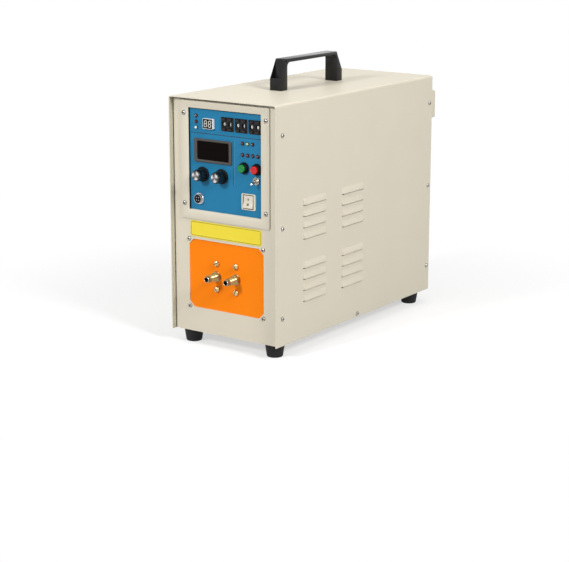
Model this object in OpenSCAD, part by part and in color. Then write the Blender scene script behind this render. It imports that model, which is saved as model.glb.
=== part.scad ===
// Induction heating machine: a sheet-metal cabinet on rubber feet with a control panel and
// two output fittings at the front, and the water-cooled power stage inside.
// Millimetres, +Z up, the front looks towards -Y. The origin lies on the floor,
// under the middle of the box that holds the whole machine.

/* [Cabinet] */
// Width of the cover
case_w = 225; // [210:1:260]
// Depth of the cover from its front edge to its rear edge
case_d = 505; // [490:1:600]
// Height of the cover
case_h = 412; // [405:1:470]
// Thickness of the cabinet's sheet metal
sheet = 1.5; // [1:0.1:2]
// Outer radius of the cover's two long bends
bend_r = 4; // [2.5:0.5:8]
// Distance of the front panel behind the cover's front edge
panel_recess = 10; // [9:0.5:14]
// Depth of the flanges that the panels turn inwards
flange_d = 15; // [12:1:20]
// Height of the base pan's turned-up edges
pan_edge_h = 22; // [16:1:28]

/* [Louvres] */
// Length of one louvre
louvre_w = 70; // [50:1:90]
// Height of one louvre
louvre_h = 9; // [6:0.5:12]
// How far a louvre is pressed out of the side
louvre_out = 3; // [2:0.1:4]
// Distance between louvres in a group
louvre_pitch = 19.5; // [15:0.5:22]
// Distance between the two groups, one above the other
louvre_group_rise = 110; // [95:1:115]
// Distance between the two columns
louvre_col_pitch = 119.5; // [100:0.5:140]
// Distance of the first column from the cover's front edge
louvre_from_front = 80; // [40:1:100]
// Height of the lowest slit above the cover's bottom edge
louvre_low = 66; // [50:1:75]

/* [Feet and handle] */
// Height of a rubber foot
foot_h = 24; // [22:1:32]
// Diameter of a foot at the cabinet
foot_top_d = 35; // [30:1:38]
// Diameter of a foot on the floor
foot_bottom_d = 27.5; // [22:0.5:29]
// Distance of a foot's centre from the cabinet's side
foot_inset_x = 24.5; // [22:0.5:30]
// Distance of a foot's centre from the cabinet's front and rear edges
foot_inset_y = 31; // [30:1:40]
// Length of the handle at its base
handle_l = 192; // [150:1:230]
// Height of the handle
handle_h = 54; // [45:1:65]
// Width of the handle
handle_w = 25; // [22:1:32]
// Length of one handle leg at its base
handle_leg = 19; // [17:1:24]
// Thickness of the handle's bar
handle_bar = 6; // [5:0.5:10]

/* [Control frame and plate] */
// Width of the control window
window_w = 153; // [150:1:160]
// Height of the control window
window_h = 176; // [172:1:180]
// Margin of the raised frame at the window's sides, as a share of the cover's width beside it
frame_side_share = 0.243; // [0.21:0.001:0.27]
// Margin of the raised frame above the window
frame_top = 12; // [9:0.5:14]
// Margin of the raised frame below the window
frame_bottom = 17; // [14:0.5:20]
// Distance of the raised frame from the cabinet's top
frame_drop = 6; // [4:0.5:8]
// Thickness of the raised frame
frame_t = 2; // [1.5:0.1:3]
// Thickness of the control plate
plate_t = 2; // [1.5:0.1:3]

/* [Label plate and output board] */
// Width of the label plate
label_w = 152; // [120:1:180]
// Height of the label plate
label_h = 28; // [20:1:30]
// Thickness of the label plate
label_t = 0.8; // [0.5:0.1:1.5]
// Width of the output opening
board_w = 160; // [140:1:164]
// Height of the output opening, as a share of the room between label plate and base pan
board_share = 0.8472; // [0.78:0.0001:0.86]
// Length cut off the output opening's corners
board_corner = 10; // [8:0.5:12]
// Thickness of the insulating output board
board_t = 5; // [4:0.5:6]
// Distance between the two output fittings
fitting_pitch = 41; // [38:1:46]
// Outer diameter of an output fitting
fitting_d = 13; // [11:0.5:14]
// Bore of an output fitting
fitting_bore = 8; // [6:0.5:9]
// How far the fittings stand ahead of the cover's front edge
fitting_reach = 19; // [12:1:26]

/* [Controls] */
// Width of a two-digit preset switch
preset_w = 25.4; // [24:0.1:26]
// Height of a preset switch
preset_h = 23.6; // [23.6:0.1:25]
// Distance between neighbouring preset switches
preset_pitch = 28.5; // [27:0.1:29]
// Diameter of a digit wheel
wheel_d = 19; // [17.5:0.1:19.2]
// Travel of a preset key
key_travel = 1.6; // [1:0.1:1.6]
// Width of the large display
meter_w = 79.5; // [72:0.5:83]
// Height of the large display
meter_h = 40; // [34:1:44]
// Width of the timer display
timer_w = 21; // [18:0.5:24]
// Height of the timer display
timer_h = 17.5; // [15:0.5:20]
// Diameter of an indicator lamp
lamp_d = 5; // [3:0.1:5.5]
// Diameter of a push button's ring
ring_d = 20; // [19.5:0.1:20.8]
// Diameter of a push button's cap
cap_d = 13.6; // [12:0.1:14]
// Travel of a push button
button_travel = 3.5; // [2:0.1:4]
// Diameter of a knob's skirt
knob_d = 26; // [22:0.5:30]
// How far a knob stands out of the control plate
knob_h = 22; // [18:0.5:26]
// Length of the toggle lever in front of its pivot
lever_l = 14.5; // [12:0.5:18]
// Width of the rocker switch's frame
rocker_w = 29.5; // [29:0.5:33]
// Height of the rocker switch's frame
rocker_h = 28; // [27.5:0.5:31]
// Tilt of the rocker to either side, in degrees
rocker_tilt = 8; // [5:1:9]
// Tilt of the toggle lever to either side, in degrees
lever_tilt = 12; // [8:1:12]
// Outer diameter of the foot switch socket's flange
socket_d = 19.5; // [18:0.5:22]

/* [Rear] */
// Distance of the rear hood from each side of the cabinet
hood_inset = 11; // [8:1:40]
// Height of the rear hood
hood_h = 60; // [50:1:70]
// Depth of the rear hood
hood_d = 31; // [28:1:40]
// Outer diameter of a water nozzle's tail
nozzle_d = 12; // [10:0.5:14]
// Distance of a water nozzle from the middle
nozzle_x = 60; // [50:1:75]
// Height of the water nozzles above the cabinet's bottom
nozzle_z = 60; // [50:1:75]

/* [Inside] */
// Height of the equipment shelf above the cabinet's bottom
shelf_z = 190; // [180:1:205]
// Length of the equipment shelf
shelf_d = 220; // [210:1:240]
// Distance of the shelf from the cover's front edge
shelf_from_front = 190; // [186:1:200]
// Width of the transformer core
core_w = 100; // [90:1:110]
// Depth of the transformer core
core_d = 100; // [80:1:104]
// Height of the transformer core
core_h = 120; // [112:1:130]
// Diameter of the copper tube in the transformer
tube_d = 12; // [10:0.5:12]
// Diameter of one capacitor
can_d = 60; // [50:1:66]
// Height of one capacitor
can_h = 100; // [80:1:130]
// Outer diameter of a water hose
hose_d = 14; // [12:0.5:16]

/* [Hidden] */
$fn = 48;

beige = [0.85, 0.82, 0.73];
blue = [0.14, 0.51, 0.69];
orange = [1, 0.54, 0.06];
yellow = [0.94, 0.87, 0.2];
black = [0.13, 0.13, 0.14];
brass = [0.78, 0.68, 0.42];
copper = [0.75, 0.45, 0.3];
steel = [0.7, 0.7, 0.72];
ivory = [0.89, 0.86, 0.8];

// Overrun of every cut
over = 1;
// Clearance around a fixed piece in its hole
fit = 0.1;
// Radial clearance of a turning pin
run = 0.05;
// Clearance around a sliding piece
slide_gap = 0.2;

// The cabinet's main planes
front_y = (fitting_reach - hood_d - case_d) / 2;
back_y = front_y + case_d;
mid_y = front_y + case_d / 2;
bottom_z = foot_h;
top_z = bottom_z + case_h;
side_x = case_w / 2;
inner_x = side_x - sheet;
inner_top = top_z - sheet;
floor_z = bottom_z + sheet;
panel_y = front_y + panel_recess;
plate_y = panel_y + sheet;
bezel_y = panel_y - frame_t;
rear_y = back_y - sheet;
pan_front = panel_y + sheet;
pan_back = rear_y;
flange_gap = 1;
flange_z = bottom_z + pan_edge_h + flange_gap;

// The front's layout, from the top down
frame_side = (case_w - window_w) * frame_side_share;
frame_w = window_w + 2 * frame_side;
frame_h = window_h + frame_top + frame_bottom;
frame_z = top_z - frame_drop - frame_h / 2;
window_z = top_z - frame_drop - frame_top - window_h / 2;
label_gap = 2.5;
label_z = frame_z - frame_h / 2 - label_gap - label_h / 2;
board_gap = 4.5;
board_top = label_z - label_h / 2 - board_gap;
board_h = (board_top - bottom_z - pan_edge_h) * board_share;
board_z = board_top - board_h / 2;

// A pressed louvre's wall, as a share of the sheet
louvre_thin_share = 0.7;

// Screws: radius of the shank, radius and height of the head, length of the shank
screw_r = 2;
screw_head_r = 3.9;
screw_head_h = 2.4;
screw_l = 8;
bolt_r = 2.5;
bolt_head_r = 4.75;
bolt_head_h = 3;
bolt_l = 15;
thread_fit = 0.02;
slot_w = 1;
slot_depth = 1;

// Places of the side screws, as shares of the cover's height
side_screw_shares = [0.116, 0.495, 0.876];
pan_screw_z = 6;
front_screw_y = plate_y + flange_d / 2;
rear_screw_y = rear_y - flange_d / 2;
frame_screw_inset_share = 0.43;
frame_screw_inset = frame_side * frame_screw_inset_share;
plate_margin = 8;
frame_screw_rise_share = 0.445;
board_screw_inset = 1;

// Places on the control plate, as shares of the window's width and height from its middle
timer_share = [-0.217, 0.36];
preset_share = [0.218, 0.37];
meter_share = [-0.168, 0.093];
lamp_column_share = [-0.405, 0.424];
lamp_row_shares = [[0.236, 0.204], [0.236, 0.094]];
lamp_counts = [3, 4];
start_share = [0.258, -0.03];
stop_share = [0.43, -0.03];
knob_shares = [[-0.315, -0.141], [-0.05, -0.141]];
toggle_share = [0.427, -0.1415];
socket_share = [-0.366, -0.385];
rocker_share = [0.318, -0.355];
lamp_pitch = 10;
lamp_row_pitch = 10.6;

// Indicator lamps
lamp_proud = 1;
lamp_flange = 0.5;
lamp_flange_t = 1;

// Preset switches
preset_proud = 1.5;
preset_lip = 0.6;
preset_depth = 22;
preset_cols = 2;
wheel_w = 8;
wheel_face = 1.9;
wheel_room = 0.4;
wheel_side_room = 0.3;
axle_r = 1.2;
view_w = 7;
view_h = 6.4;
key_w = 7.6;
key_h = 4.1;
key_proud = 2;
key_depth = 2;
key_stop = 0.4;
key_edge = 1.1;

// Timer display and large display
timer_proud = 6;
timer_depth = 8;
timer_step = 1;
timer_rim = 0.6;
face_t = 0.6;
meter_proud = 3;
meter_depth = 26;
meter_step = 2.5;
meter_rim_x = 6.5;
meter_rim_z = 4.4;
lens_t = 1.5;
lens_sink = 1;

// Push buttons
ring_proud = 7.5;
ring_taper = 1.6;
cap_proud = 10.5;
barrel_r = ring_d / 2 - 1;
cap_seat = 2;
cap_flange = 0.6;
cap_flange_t = 2;
stem_r = 2;
stem_l = 5;
barrel_wall = 2;
cap_room = cap_seat + cap_flange_t + stem_l + button_travel + 2 * slide_gap;
barrel_l = cap_room + barrel_wall;
ring_nut_r = 11.5;
ring_nut_t = 3;

// Knobs and potentiometers
skirt_gap = 0.6;
skirt_t = 3;
knob_grip_r = 10;
knob_tip_r = 8.6;
knob_cap_r = 7.6;
knob_cap_t = 0.8;
knob_room_r = 8.5;
knob_room_t = 3.4;
pointer_w = 1.6;
pointer_t = 1.2;
shaft_r = 3;
shaft_front = 16;
shaft_back = 8;
shaft_end_room = 0.5;
pot_r = 12;
pot_depth = 12;
bushing_r = 4.5;
bushing_proud = 3;
nut_r = 7;
nut_t = 2;

// Toggle switch
toggle_bushing_r = 5;
toggle_bushing_proud = 6;
toggle_nut_r = 7.2;
toggle_nut_t = 3;
toggle_body_w = 13;
toggle_body_depth = 16;
toggle_wall = 2;
lever_pivot = 1;
ball_r = 3;
lever_root_r = 1.5;
lever_tip_r = 2.3;
lever_tail_r = 1.2;
lever_tail_l = 6;
throat_r = 2.4;
throat_y = 3;
seat_step = 1.9;
mouth_r = 3.6;
tail_room_r = 4;

// Rocker switch
rocker_proud = 2;
rocker_corner = 2.5;
rocker_body_inset = 1.5;
rocker_body_depth = 14;
rocker_r = 11;
rocker_room = 0.3;
rocker_body_w = 21;
rocker_face = 2.2;
rocker_back = 5;
pivot_r = 1.5;
pivot_l = 1.5;
pivot_gap = 0.3;
rocker_end_wall = 1.5;

// Foot switch socket
socket_proud = 7;
socket_flange_t = 2.2;
socket_barrel_r = 8.2;
socket_barrel_l = 14;
socket_bore_r = 7.4;
socket_sink = 1;
socket_pin_r = 0.75;
socket_pin_l = 0.8;
socket_pin_circle_r = 3.4;
socket_pins = 4;

// Output fittings and the brass screws that clamp their inner blocks
fitting_x = fitting_pitch / 2;
fitting_nut_r = 9.5;
fitting_nut_t = 6;
fitting_tip_t = 4.5;
fitting_tip_step = 1.2;
block_w = 22;
block_h = 60;
block_t = 16;
barb_r = 5;
barb_l = 14;
brass_head_r = 5.5;
brass_head_h = 5;
brass_shank_r = 3;
brass_rise = 23;
block_y = plate_y + board_t;

// Transformer
core_gap = 27.5;
core_y = block_y + block_t + core_gap;
core_leg = 24;
core_yoke = 28;
core_side = 16;
cradle_z = board_z - core_h / 2;
winding_room = 2;
winding_side = 16;
tube_back = 16;

// Shelf and what it carries
shelf_y = front_y + shelf_from_front;
shelf_top = bottom_z + shelf_z;
shelf_x = inner_x - 12;
shelf_leg_x = 76;
shelf_foot = 12;
cold_w = 160;
cold_t = 15;
cold_edge = 10;
module_w = 62;
module_d = 106;
module_h = 30;
module_x = 38;
terminal_r = 6;
terminal_h = 4;
can_x = 42;
can_pitch = 78;
can_first = 46;
stud_r = 4;
stud_h = 10;

// Control board behind the control plate
pcb_w = 150;
pcb_h = 172;
pcb_t = 1.6;
pcb_gap = 4;
post_r = 3;
post_x = 69;
post_z = 82;
chip_h = 8;
chip_w = 34;
chip_shares = [[-0.28, 0.3], [0.22, 0.32], [-0.24, -0.28], [0.26, -0.24]];

// Rear hood, terminal block and gland
hood_drop = 23;
hood_w = case_w - 2 * hood_inset;
hood_slope = 10;
hood_t = 1.2;
hood_flange = 12;
hood_screw_share = 0.42;
hood_top = top_z - hood_drop;
hood_bottom = hood_top - hood_h;
terminal_w = 84;
terminal_d = 16;
terminal_z = 24;
terminal_ribs = 4;
terminal_rib_t = 3;
terminal_rib_d = 5;
terminal_screw_r = 3.5;
gland_r = 9;
gland_bore_r = 6;
gland_x = 28;
gland_out = 18;
gland_in = 7;
gland_nut_r = 11.5;
gland_nut_t = 5;
wire_hole_r = 8;
wire_hole_x = 62;

// Water nozzles
nozzle_bore_r = 4;
nozzle_l = 26;
nozzle_inner = 18;
nozzle_nut_r = 11;
nozzle_nut_t = 6;
groove_depth = 0.6;
groove_w = 2;
rim_w = 3;

// Rear vents
vent_w = 4;
vent_h = 60;
vent_pitch = 12;
vents = 9;
vent_share = 0.4612;
vent_z = bottom_z + case_h * vent_share;

// Handle outline, and the troughs in the outer faces of its legs
handle_step_share = 0.37;
handle_lean = 18;
handle_inner_r = 8;
trough_low = 17;
trough_wall = 2.2;
trough_back = 4;
handle_bore_l = 14;

// Feet and their nuts in the pan
foot_seat = 14;
foot_sink_r = 6.5;
boss_r = 5.5;
boss_h = 5;
foot_x = side_x - foot_inset_x;
foot_y = case_d / 2 - foot_inset_y;

// A plate drawn as seen from the front, from y on backwards
module upright(y, t) {
    translate([0, y + t, 0]) rotate([90, 0, 0]) linear_extrude(t) children();
}

// A profile drawn in depth and height, seen from the right, centred sideways
module sideways(w) {
    translate([-w / 2, 0, 0]) rotate([90, 0, 90]) linear_extrude(w) children();
}

// A round bar along Y between two depths
module bar_y(r, y0, y1, r_back = undef) {
    translate([0, y1, 0]) rotate([90, 0, 0])
        cylinder(h = y1 - y0, r1 = is_undef(r_back) ? r : r_back, r2 = r);
}

// A round bar along X, centred
module bar_x(r, l) {
    rotate([0, 90, 0]) cylinder(h = l, r = r, center = true);
}

// A six-sided nut along Y
module nut_y(r, y0, y1) {
    translate([0, y1, 0]) rotate([90, 0, 0]) cylinder(h = y1 - y0, r = r, $fn = 6);
}

// A block centred in width and height, between two depths
module block_y(w, h, y0, y1) {
    translate([-w / 2, y0, -h / 2]) cube([w, y1 - y0, h]);
}

// A rectangle with round corners
module round_rect(w, h, r) {
    square([w - 2 * r, h], center = true);
    square([w, h - 2 * r], center = true);
    for (sx = [-1, 1], sz = [-1, 1]) translate([sx * (w / 2 - r), sz * (h / 2 - r)]) circle(r);
}

// A rectangle with cut corners
module cut_rect(w, h, c) {
    polygon([for (q = [[1, 1], [-1, 1], [-1, -1], [1, -1]], k = [0, 1])
        let (first = q[0] * q[1] > 0 ? k == 0 : k == 1)
        [q[0] * (w / 2 - (first ? 0 : c)), q[1] * (h / 2 - (first ? c : 0))]]);
}

// Moves a piece to its place on the control plate's front face
module on_plate(share) {
    translate([share[0] * window_w, plate_y, window_z + share[1] * window_h]) children();
}

// The cover's outline: square below, with two round corners on top
module cover_outline(w, top, r) {
    translate([-w / 2, 0]) square([w, top - r]);
    translate([-w / 2 + r, 0]) square([w - 2 * r, top]);
    for (s = [-1, 1]) translate([s * (w / 2 - r), top - r]) circle(r);
}

// One louvre as a wedge on the right side, or the wedge of air inside it
module louvre(out, h, w, root, low) {
    translate([side_x, 0, 0]) rotate([90, 0, 0])
        linear_extrude(w, center = true)
            polygon([[-root, h], [0, h], [out, 0], [out, -low], [-root, -low]]);
}

module at_louvres() {
    for (side = [0, 1]) mirror([side, 0, 0])
        for (col = [0, 1], group = [0, 1], row = [0:3])
            translate([0, front_y + louvre_from_front + louvre_w / 2 + col * louvre_col_pitch,
                bottom_z + louvre_low + group * louvre_group_rise + row * louvre_pitch])
                children();
}

// Places of the side screws: depth and height
side_screws = concat(
    [for (y = [front_screw_y, rear_screw_y], s = side_screw_shares)
        [y, bottom_z + s * case_h]],
    [[mid_y, bottom_z + pan_screw_z]]);

module at_side_screws() {
    for (side = [0, 1]) mirror([side, 0, 0])
        for (p = side_screws) translate([side_x, p[0], p[1]]) rotate([0, 0, 90]) children();
}

// Places of the front screws: the frame's four and the output board's four
frame_screw_x = frame_w / 2 - frame_screw_inset;
frame_screw_rise = window_h * frame_screw_rise_share;
module at_frame_screws() {
    for (sx = [-1, 1], sz = [-1, 1])
        translate([sx * frame_screw_x, bezel_y, window_z + sz * frame_screw_rise]) children();
}

module at_board_screws() {
    for (sx = [-1, 1], sz = [-1, 1])
        translate([sx * (board_w / 2 - board_screw_inset), panel_y,
            board_z + sz * (board_h / 2 - board_screw_inset)]) children();
}

hood_screw_rise = hood_flange / 2;
module at_hood_screws() {
    for (sx = [-1, 1], z = [hood_top + hood_screw_rise, hood_bottom - hood_screw_rise])
        translate([sx * hood_w * hood_screw_share, back_y + hood_t, z])
            rotate([0, 0, 180]) children();
}

// A screw hole along Y from a screw's seat inwards
module screw_hole(clearance = fit) {
    bar_y(screw_r + clearance, -over, screw_l + over);
}

// A pan-head screw with a cross recess, its head seated at depth 0
module screw() {
    difference() {
        union() {
            bar_y(screw_r, 0, screw_l);
            bar_y(screw_head_r, -screw_head_h, 0);
        }
        for (a = [0, 90]) rotate([0, a, 0])
            block_y(screw_head_r, slot_w, -screw_head_h - over, slot_depth - screw_head_h);
    }
}

// Places of the handle's screws and the feet
handle_screw_y = handle_l / 2 - handle_leg / 2;
module at_handle_screws() {
    for (s = [-1, 1]) translate([0, mid_y + s * handle_screw_y, inner_top]) children();
}

module at_feet() {
    for (sx = [-1, 1], sy = [-1, 1]) translate([sx * foot_x, mid_y + sy * foot_y, 0]) children();
}

module cover_shell() color(beige) difference() {
    union() {
        difference() {
            upright(front_y, case_d) translate([0, bottom_z]) cover_outline(case_w, case_h, bend_r);
            upright(front_y - over, case_d + 2 * over) translate([0, bottom_z - over])
                cover_outline(2 * inner_x, case_h + over - sheet, bend_r - sheet);
        }
        at_louvres() louvre(louvre_out, louvre_h, louvre_w, sheet / 2, 0);
    }
    at_louvres() louvre(louvre_out - sheet * louvre_thin_share,
        louvre_h * (1 - sheet * louvre_thin_share / louvre_out),
        louvre_w - 2 * sheet, sheet + over, over);
    at_side_screws() screw_hole();
    at_handle_screws() translate([0, 0, -over]) cylinder(h = sheet + 2 * over, r = bolt_r + fit);
}

module base_pan() color(beige) {
    pan_d = pan_back - pan_front;
    difference() {
        union() {
            difference() {
                translate([-inner_x, pan_front, bottom_z]) cube([2 * inner_x, pan_d, pan_edge_h]);
                translate([-inner_x + sheet, pan_front + sheet, floor_z])
                    cube([2 * (inner_x - sheet), pan_d - 2 * sheet, pan_edge_h]);
            }
            at_feet() translate([0, 0, floor_z - over / 2]) cylinder(h = boss_h + over / 2, r = boss_r);
            cradle();
        }
        at_feet() cylinder(h = bottom_z + sheet + boss_h + over, r = bolt_r + thread_fit);
        at_side_screws() screw_hole(thread_fit);
    }
}

// The pan's welded cradle under the transformer
module cradle() {
    translate([0, core_y, 0]) difference() {
        translate([-core_w / 2, 0, floor_z - sheet / 2])
            cube([core_w, core_d, cradle_z - floor_z + sheet / 2]);
        translate([-core_w / 2 + sheet, -over, floor_z - sheet])
            cube([core_w - 2 * sheet, core_d + 2 * over, cradle_z - floor_z]);
    }
}

// A panel sheet with flanges turned back at its sides and top
module flanged_panel(y, back) {
    panel_h = inner_top - bottom_z;
    upright(y, sheet) translate([-inner_x, bottom_z]) square([2 * inner_x, panel_h]);
    flange_y = back ? y - flange_d : y;
    for (s = [-1, 1]) translate([s * (inner_x - sheet / 2) - sheet / 2, flange_y, flange_z])
        cube([sheet, flange_d + sheet, inner_top - bend_r - flange_z]);
    translate([-inner_x + bend_r, flange_y, inner_top - sheet])
        cube([2 * (inner_x - bend_r), flange_d + sheet, sheet]);
}

// Cuts the inner top corners, which the cover's bends fill
module bend_room(y) {
    difference() {
        upright(y - flange_d - over, 2 * (flange_d + over) + sheet)
            translate([-side_x, inner_top - bend_r]) square([case_w, 2 * bend_r]);
        upright(y - flange_d - 2 * over, 2 * (flange_d + 2 * over) + sheet)
            translate([0, bottom_z - over])
                cover_outline(2 * inner_x, inner_top - bottom_z + over, bend_r - sheet);
    }
}

module front_panel() color(beige) difference() {
    flanged_panel(panel_y, false);
    bend_room(panel_y);
    upright(panel_y - over, sheet + 2 * over) translate([0, window_z])
        square([window_w, window_h], center = true);
    upright(panel_y - over, sheet + 2 * over) translate([0, board_z])
        cut_rect(board_w, board_h, board_corner);
    at_side_screws() screw_hole(thread_fit);
    at_frame_screws() screw_hole();
    at_board_screws() screw_hole();
}

module rear_panel() color(beige) difference() {
    flanged_panel(rear_y, true);
    bend_room(rear_y);
    at_side_screws() screw_hole(thread_fit);
    at_hood_screws() screw_hole(thread_fit);
    at_nozzles() bar_y(nozzle_d / 2 + fit, -sheet - over, over);
    translate([-wire_hole_x, 0, hood_bottom + hood_h / 2])
        bar_y(wire_hole_r, rear_y - over, back_y + over);
    for (i = [0:vents - 1]) translate([(i - (vents - 1) / 2) * vent_pitch, 0, vent_z])
        block_y(vent_w, vent_h, rear_y - over, back_y + over);
}

module control_bezel() color(beige) difference() {
    upright(bezel_y, frame_t) difference() {
        translate([0, frame_z]) round_rect(frame_w, frame_h, frame_t);
        translate([0, window_z]) square([window_w, window_h], center = true);
    }
    at_frame_screws() screw_hole();
}

module control_plate() color(blue) difference() {
    upright(plate_y, plate_t) translate([0, window_z])
        square([frame_w - frame_screw_inset, window_h + 2 * plate_margin], center = true);
    at_frame_screws() screw_hole();
    at_presets() block_y(preset_w - 2 * preset_lip + 2 * fit, preset_h - 2 * preset_lip + 2 * fit,
        -over, plate_t + over);
    on_plate(timer_share) block_y(timer_w - 2 * timer_step + 2 * fit,
        timer_h - 2 * timer_step + 2 * fit, -over, plate_t + over);
    on_plate(meter_share) block_y(meter_w - 2 * meter_step + 2 * fit,
        meter_h - 2 * meter_step + 2 * fit, -over, plate_t + over);
    at_lamps() bar_y(lamp_d / 2 + fit, -over, plate_t + over);
    for (s = [start_share, stop_share]) on_plate(s)
        bar_y(barrel_r + fit, -over, plate_t + over);
    for (s = knob_shares) on_plate(s) bar_y(bushing_r + fit, -over, plate_t + over);
    on_plate(toggle_share) bar_y(toggle_bushing_r + fit, -over, plate_t + over);
    on_plate(socket_share) bar_y(socket_barrel_r + fit, -over, plate_t + over);
    on_plate(rocker_share) block_y(rocker_w - 2 * rocker_body_inset + 2 * fit,
        rocker_h - 2 * rocker_body_inset + 2 * fit, -over, plate_t + over);
}

module label_plate() color(yellow) upright(panel_y - label_t, label_t)
    translate([0, label_z]) round_rect(label_w, label_h, 2 * label_t);

module output_board() color(orange) difference() {
    upright(plate_y, board_t) translate([0, board_z])
        cut_rect(board_w + 2 * board_corner, board_h + board_corner, board_corner / 2);
    at_board_screws() screw_hole();
    at_fittings() bar_y(fitting_d / 2 + fit, -over, board_t + over);
    at_brass_screws() bar_y(brass_shank_r + fit, -over, board_t + over);
}

module case_screws() color(steel) {
    at_side_screws() screw();
    at_frame_screws() screw();
    at_board_screws() screw();
    at_hood_screws() screw();
}

// A larger screw, standing upright with its head below
module bolt() {
    cylinder(h = bolt_l, r = bolt_r);
    difference() {
        translate([0, 0, -bolt_head_h]) cylinder(h = bolt_head_h, r = bolt_head_r);
        for (a = [0, 90]) rotate([0, 0, a])
            translate([-bolt_head_r / 2, -slot_w / 2, -bolt_head_h - over])
                cube([bolt_head_r, slot_w, slot_depth + over]);
    }
}

module mounting_screws() color(steel) {
    at_handle_screws() bolt();
    at_feet() translate([0, 0, foot_seat]) bolt();
}

module rubber_feet() color(black) at_feet() difference() {
    cylinder(h = foot_h, r1 = foot_bottom_d / 2, r2 = foot_top_d / 2);
    translate([0, 0, -over]) cylinder(h = foot_seat + over, r = foot_sink_r);
    cylinder(h = foot_h + over, r = bolt_r + fit);
}

// The handle seen from the side, standing on height 0
module handle_outline() {
    half = handle_l / 2;
    top = half - handle_lean;
    step = handle_h * handle_step_share;
    inner = half - handle_leg;
    difference() {
        polygon([[-half, 0], [half, 0], [half, step], [top, handle_h], [-top, handle_h],
            [-half, step]]);
        translate([-inner, -over]) square([2 * inner, handle_h - handle_bar - handle_inner_r + over]);
        translate([-inner + handle_inner_r, -over])
            square([2 * (inner - handle_inner_r), handle_h - handle_bar + over]);
        for (s = [-1, 1]) translate([s * (inner - handle_inner_r),
            handle_h - handle_bar - handle_inner_r]) circle(handle_inner_r);
    }
}

module carry_handle() color(black) translate([0, mid_y, top_z]) difference() {
    sideways(handle_w) handle_outline();
    for (s = [-1, 1]) translate([0, s * handle_screw_y, -over])
        cylinder(h = handle_bore_l + over, r = bolt_r + thread_fit);
    trough = handle_leg - trough_back;
    for (s = [0, 1]) mirror([0, s, 0])
        translate([trough_wall - handle_w / 2, handle_l / 2 - trough, trough_low])
            cube([handle_w - 2 * trough_wall, trough + over, handle_h - trough_low - handle_bar]);
}

module meter_case() color([0.55, 0.55, 0.55]) on_plate(meter_share) difference() {
    union() {
        block_y(meter_w, meter_h, -meter_proud, 0);
        block_y(meter_w - 2 * meter_step, meter_h - 2 * meter_step, -over, meter_depth);
    }
    block_y(meter_w - 2 * meter_rim_x, meter_h - 2 * meter_rim_z, -meter_proud - over,
        lens_sink + lens_t - meter_proud);
}

module meter_window() color(black) on_plate(meter_share)
    block_y(meter_w - 2 * meter_rim_x - 2 * fit, meter_h - 2 * meter_rim_z - 2 * fit,
        lens_sink - meter_proud, lens_sink + lens_t - meter_proud);

module timer_display() color(ivory) on_plate(timer_share) {
    difference() {
        union() {
            block_y(timer_w, timer_h, -timer_proud, 0);
            block_y(timer_w - 2 * timer_step, timer_h - 2 * timer_step, -over, timer_depth);
        }
        block_y(timer_w - 2 * timer_rim, timer_h - 2 * timer_rim, -timer_proud - over,
            face_t - timer_proud);
    }
    block_y(timer_w - 2 * timer_rim - 2 * fit, timer_h - 2 * timer_rim - 2 * fit,
        -timer_proud, face_t - timer_proud);
}

module at_lamps() {
    on_plate(lamp_column_share) for (i = [0:2]) translate([0, 0, -i * lamp_pitch]) children();
    for (row = [0, 1]) on_plate(lamp_row_shares[row])
        for (i = [0:lamp_counts[row] - 1]) translate([i * lamp_row_pitch, 0, 0]) children();
}

module indicator_lamps() color("red") at_lamps() {
    bar_y(lamp_d / 2, -lamp_proud, plate_t + lamp_flange_t);
    bar_y(lamp_d / 2 + lamp_flange, plate_t, plate_t + lamp_flange_t);
    translate([0, -lamp_proud, 0]) sphere(lamp_d / 2);
}

module at_presets() {
    on_plate(preset_share) for (i = [-1, 0, 1]) translate([i * preset_pitch, 0, 0]) children();
}

// Middle of one of the two columns of a preset switch
preset_col_x = preset_w / 4;
key_z = preset_h / 2 - key_edge - slide_gap - key_h / 2;
wheel_y = wheel_face - preset_proud + wheel_d / 2;

module preset_bodies() color(black) at_presets() {
    difference() {
        union() {
            block_y(preset_w, preset_h, -preset_proud, 0);
            block_y(preset_w - 2 * preset_lip, preset_h - 2 * preset_lip, -over, preset_depth);
        }
        for (s = [-1, 1]) translate([s * preset_col_x, 0, 0]) {
            translate([0, wheel_y, 0])
                bar_x(wheel_d / 2 + wheel_room, wheel_w + 2 * wheel_side_room);
            block_y(view_w, view_h, -preset_proud - over, wheel_y);
            for (k = [-1, 1]) translate([0, 0, k * key_z])
                block_y(key_w + 2 * slide_gap, key_h + 2 * slide_gap, -preset_proud - over,
                    key_depth - preset_proud + key_travel + key_stop);
        }
    }
    translate([0, wheel_y, 0]) bar_x(axle_r, preset_w - 2 * preset_lip);
}

// Moves a piece to one of the six digit columns, counted from the left
module at_digit(n) {
    on_plate(preset_share)
        translate([(floor((n - 1) / preset_cols) - 1) * preset_pitch
            + ((n - 1) % preset_cols * 2 - 1) * preset_col_x, 0, 0]) children();
}

module digit_wheel(n) color(black) at_digit(n) translate([0, wheel_y, 0]) difference() {
    bar_x(wheel_d / 2, wheel_w);
    bar_x(axle_r + run, wheel_w + 2 * over);
}

module preset_key(n, up) color([0.24, 0.12, 0.1]) at_digit(n) translate([0, 0, up * key_z])
    block_y(key_w, key_h, -preset_proud - key_proud, key_depth - preset_proud);

module button_rings() color(black) for (s = [start_share, stop_share]) on_plate(s) difference() {
    union() {
        bar_y(ring_d / 2 - ring_taper, -ring_proud, 0, ring_d / 2);
        bar_y(barrel_r, -over, barrel_l);
        nut_y(ring_nut_r, plate_t, plate_t + ring_nut_t);
    }
    bar_y(cap_d / 2 + slide_gap, -ring_proud - over, cap_seat + over);
    bar_y(cap_d / 2 + cap_flange + slide_gap, cap_seat, cap_room);
}

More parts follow.
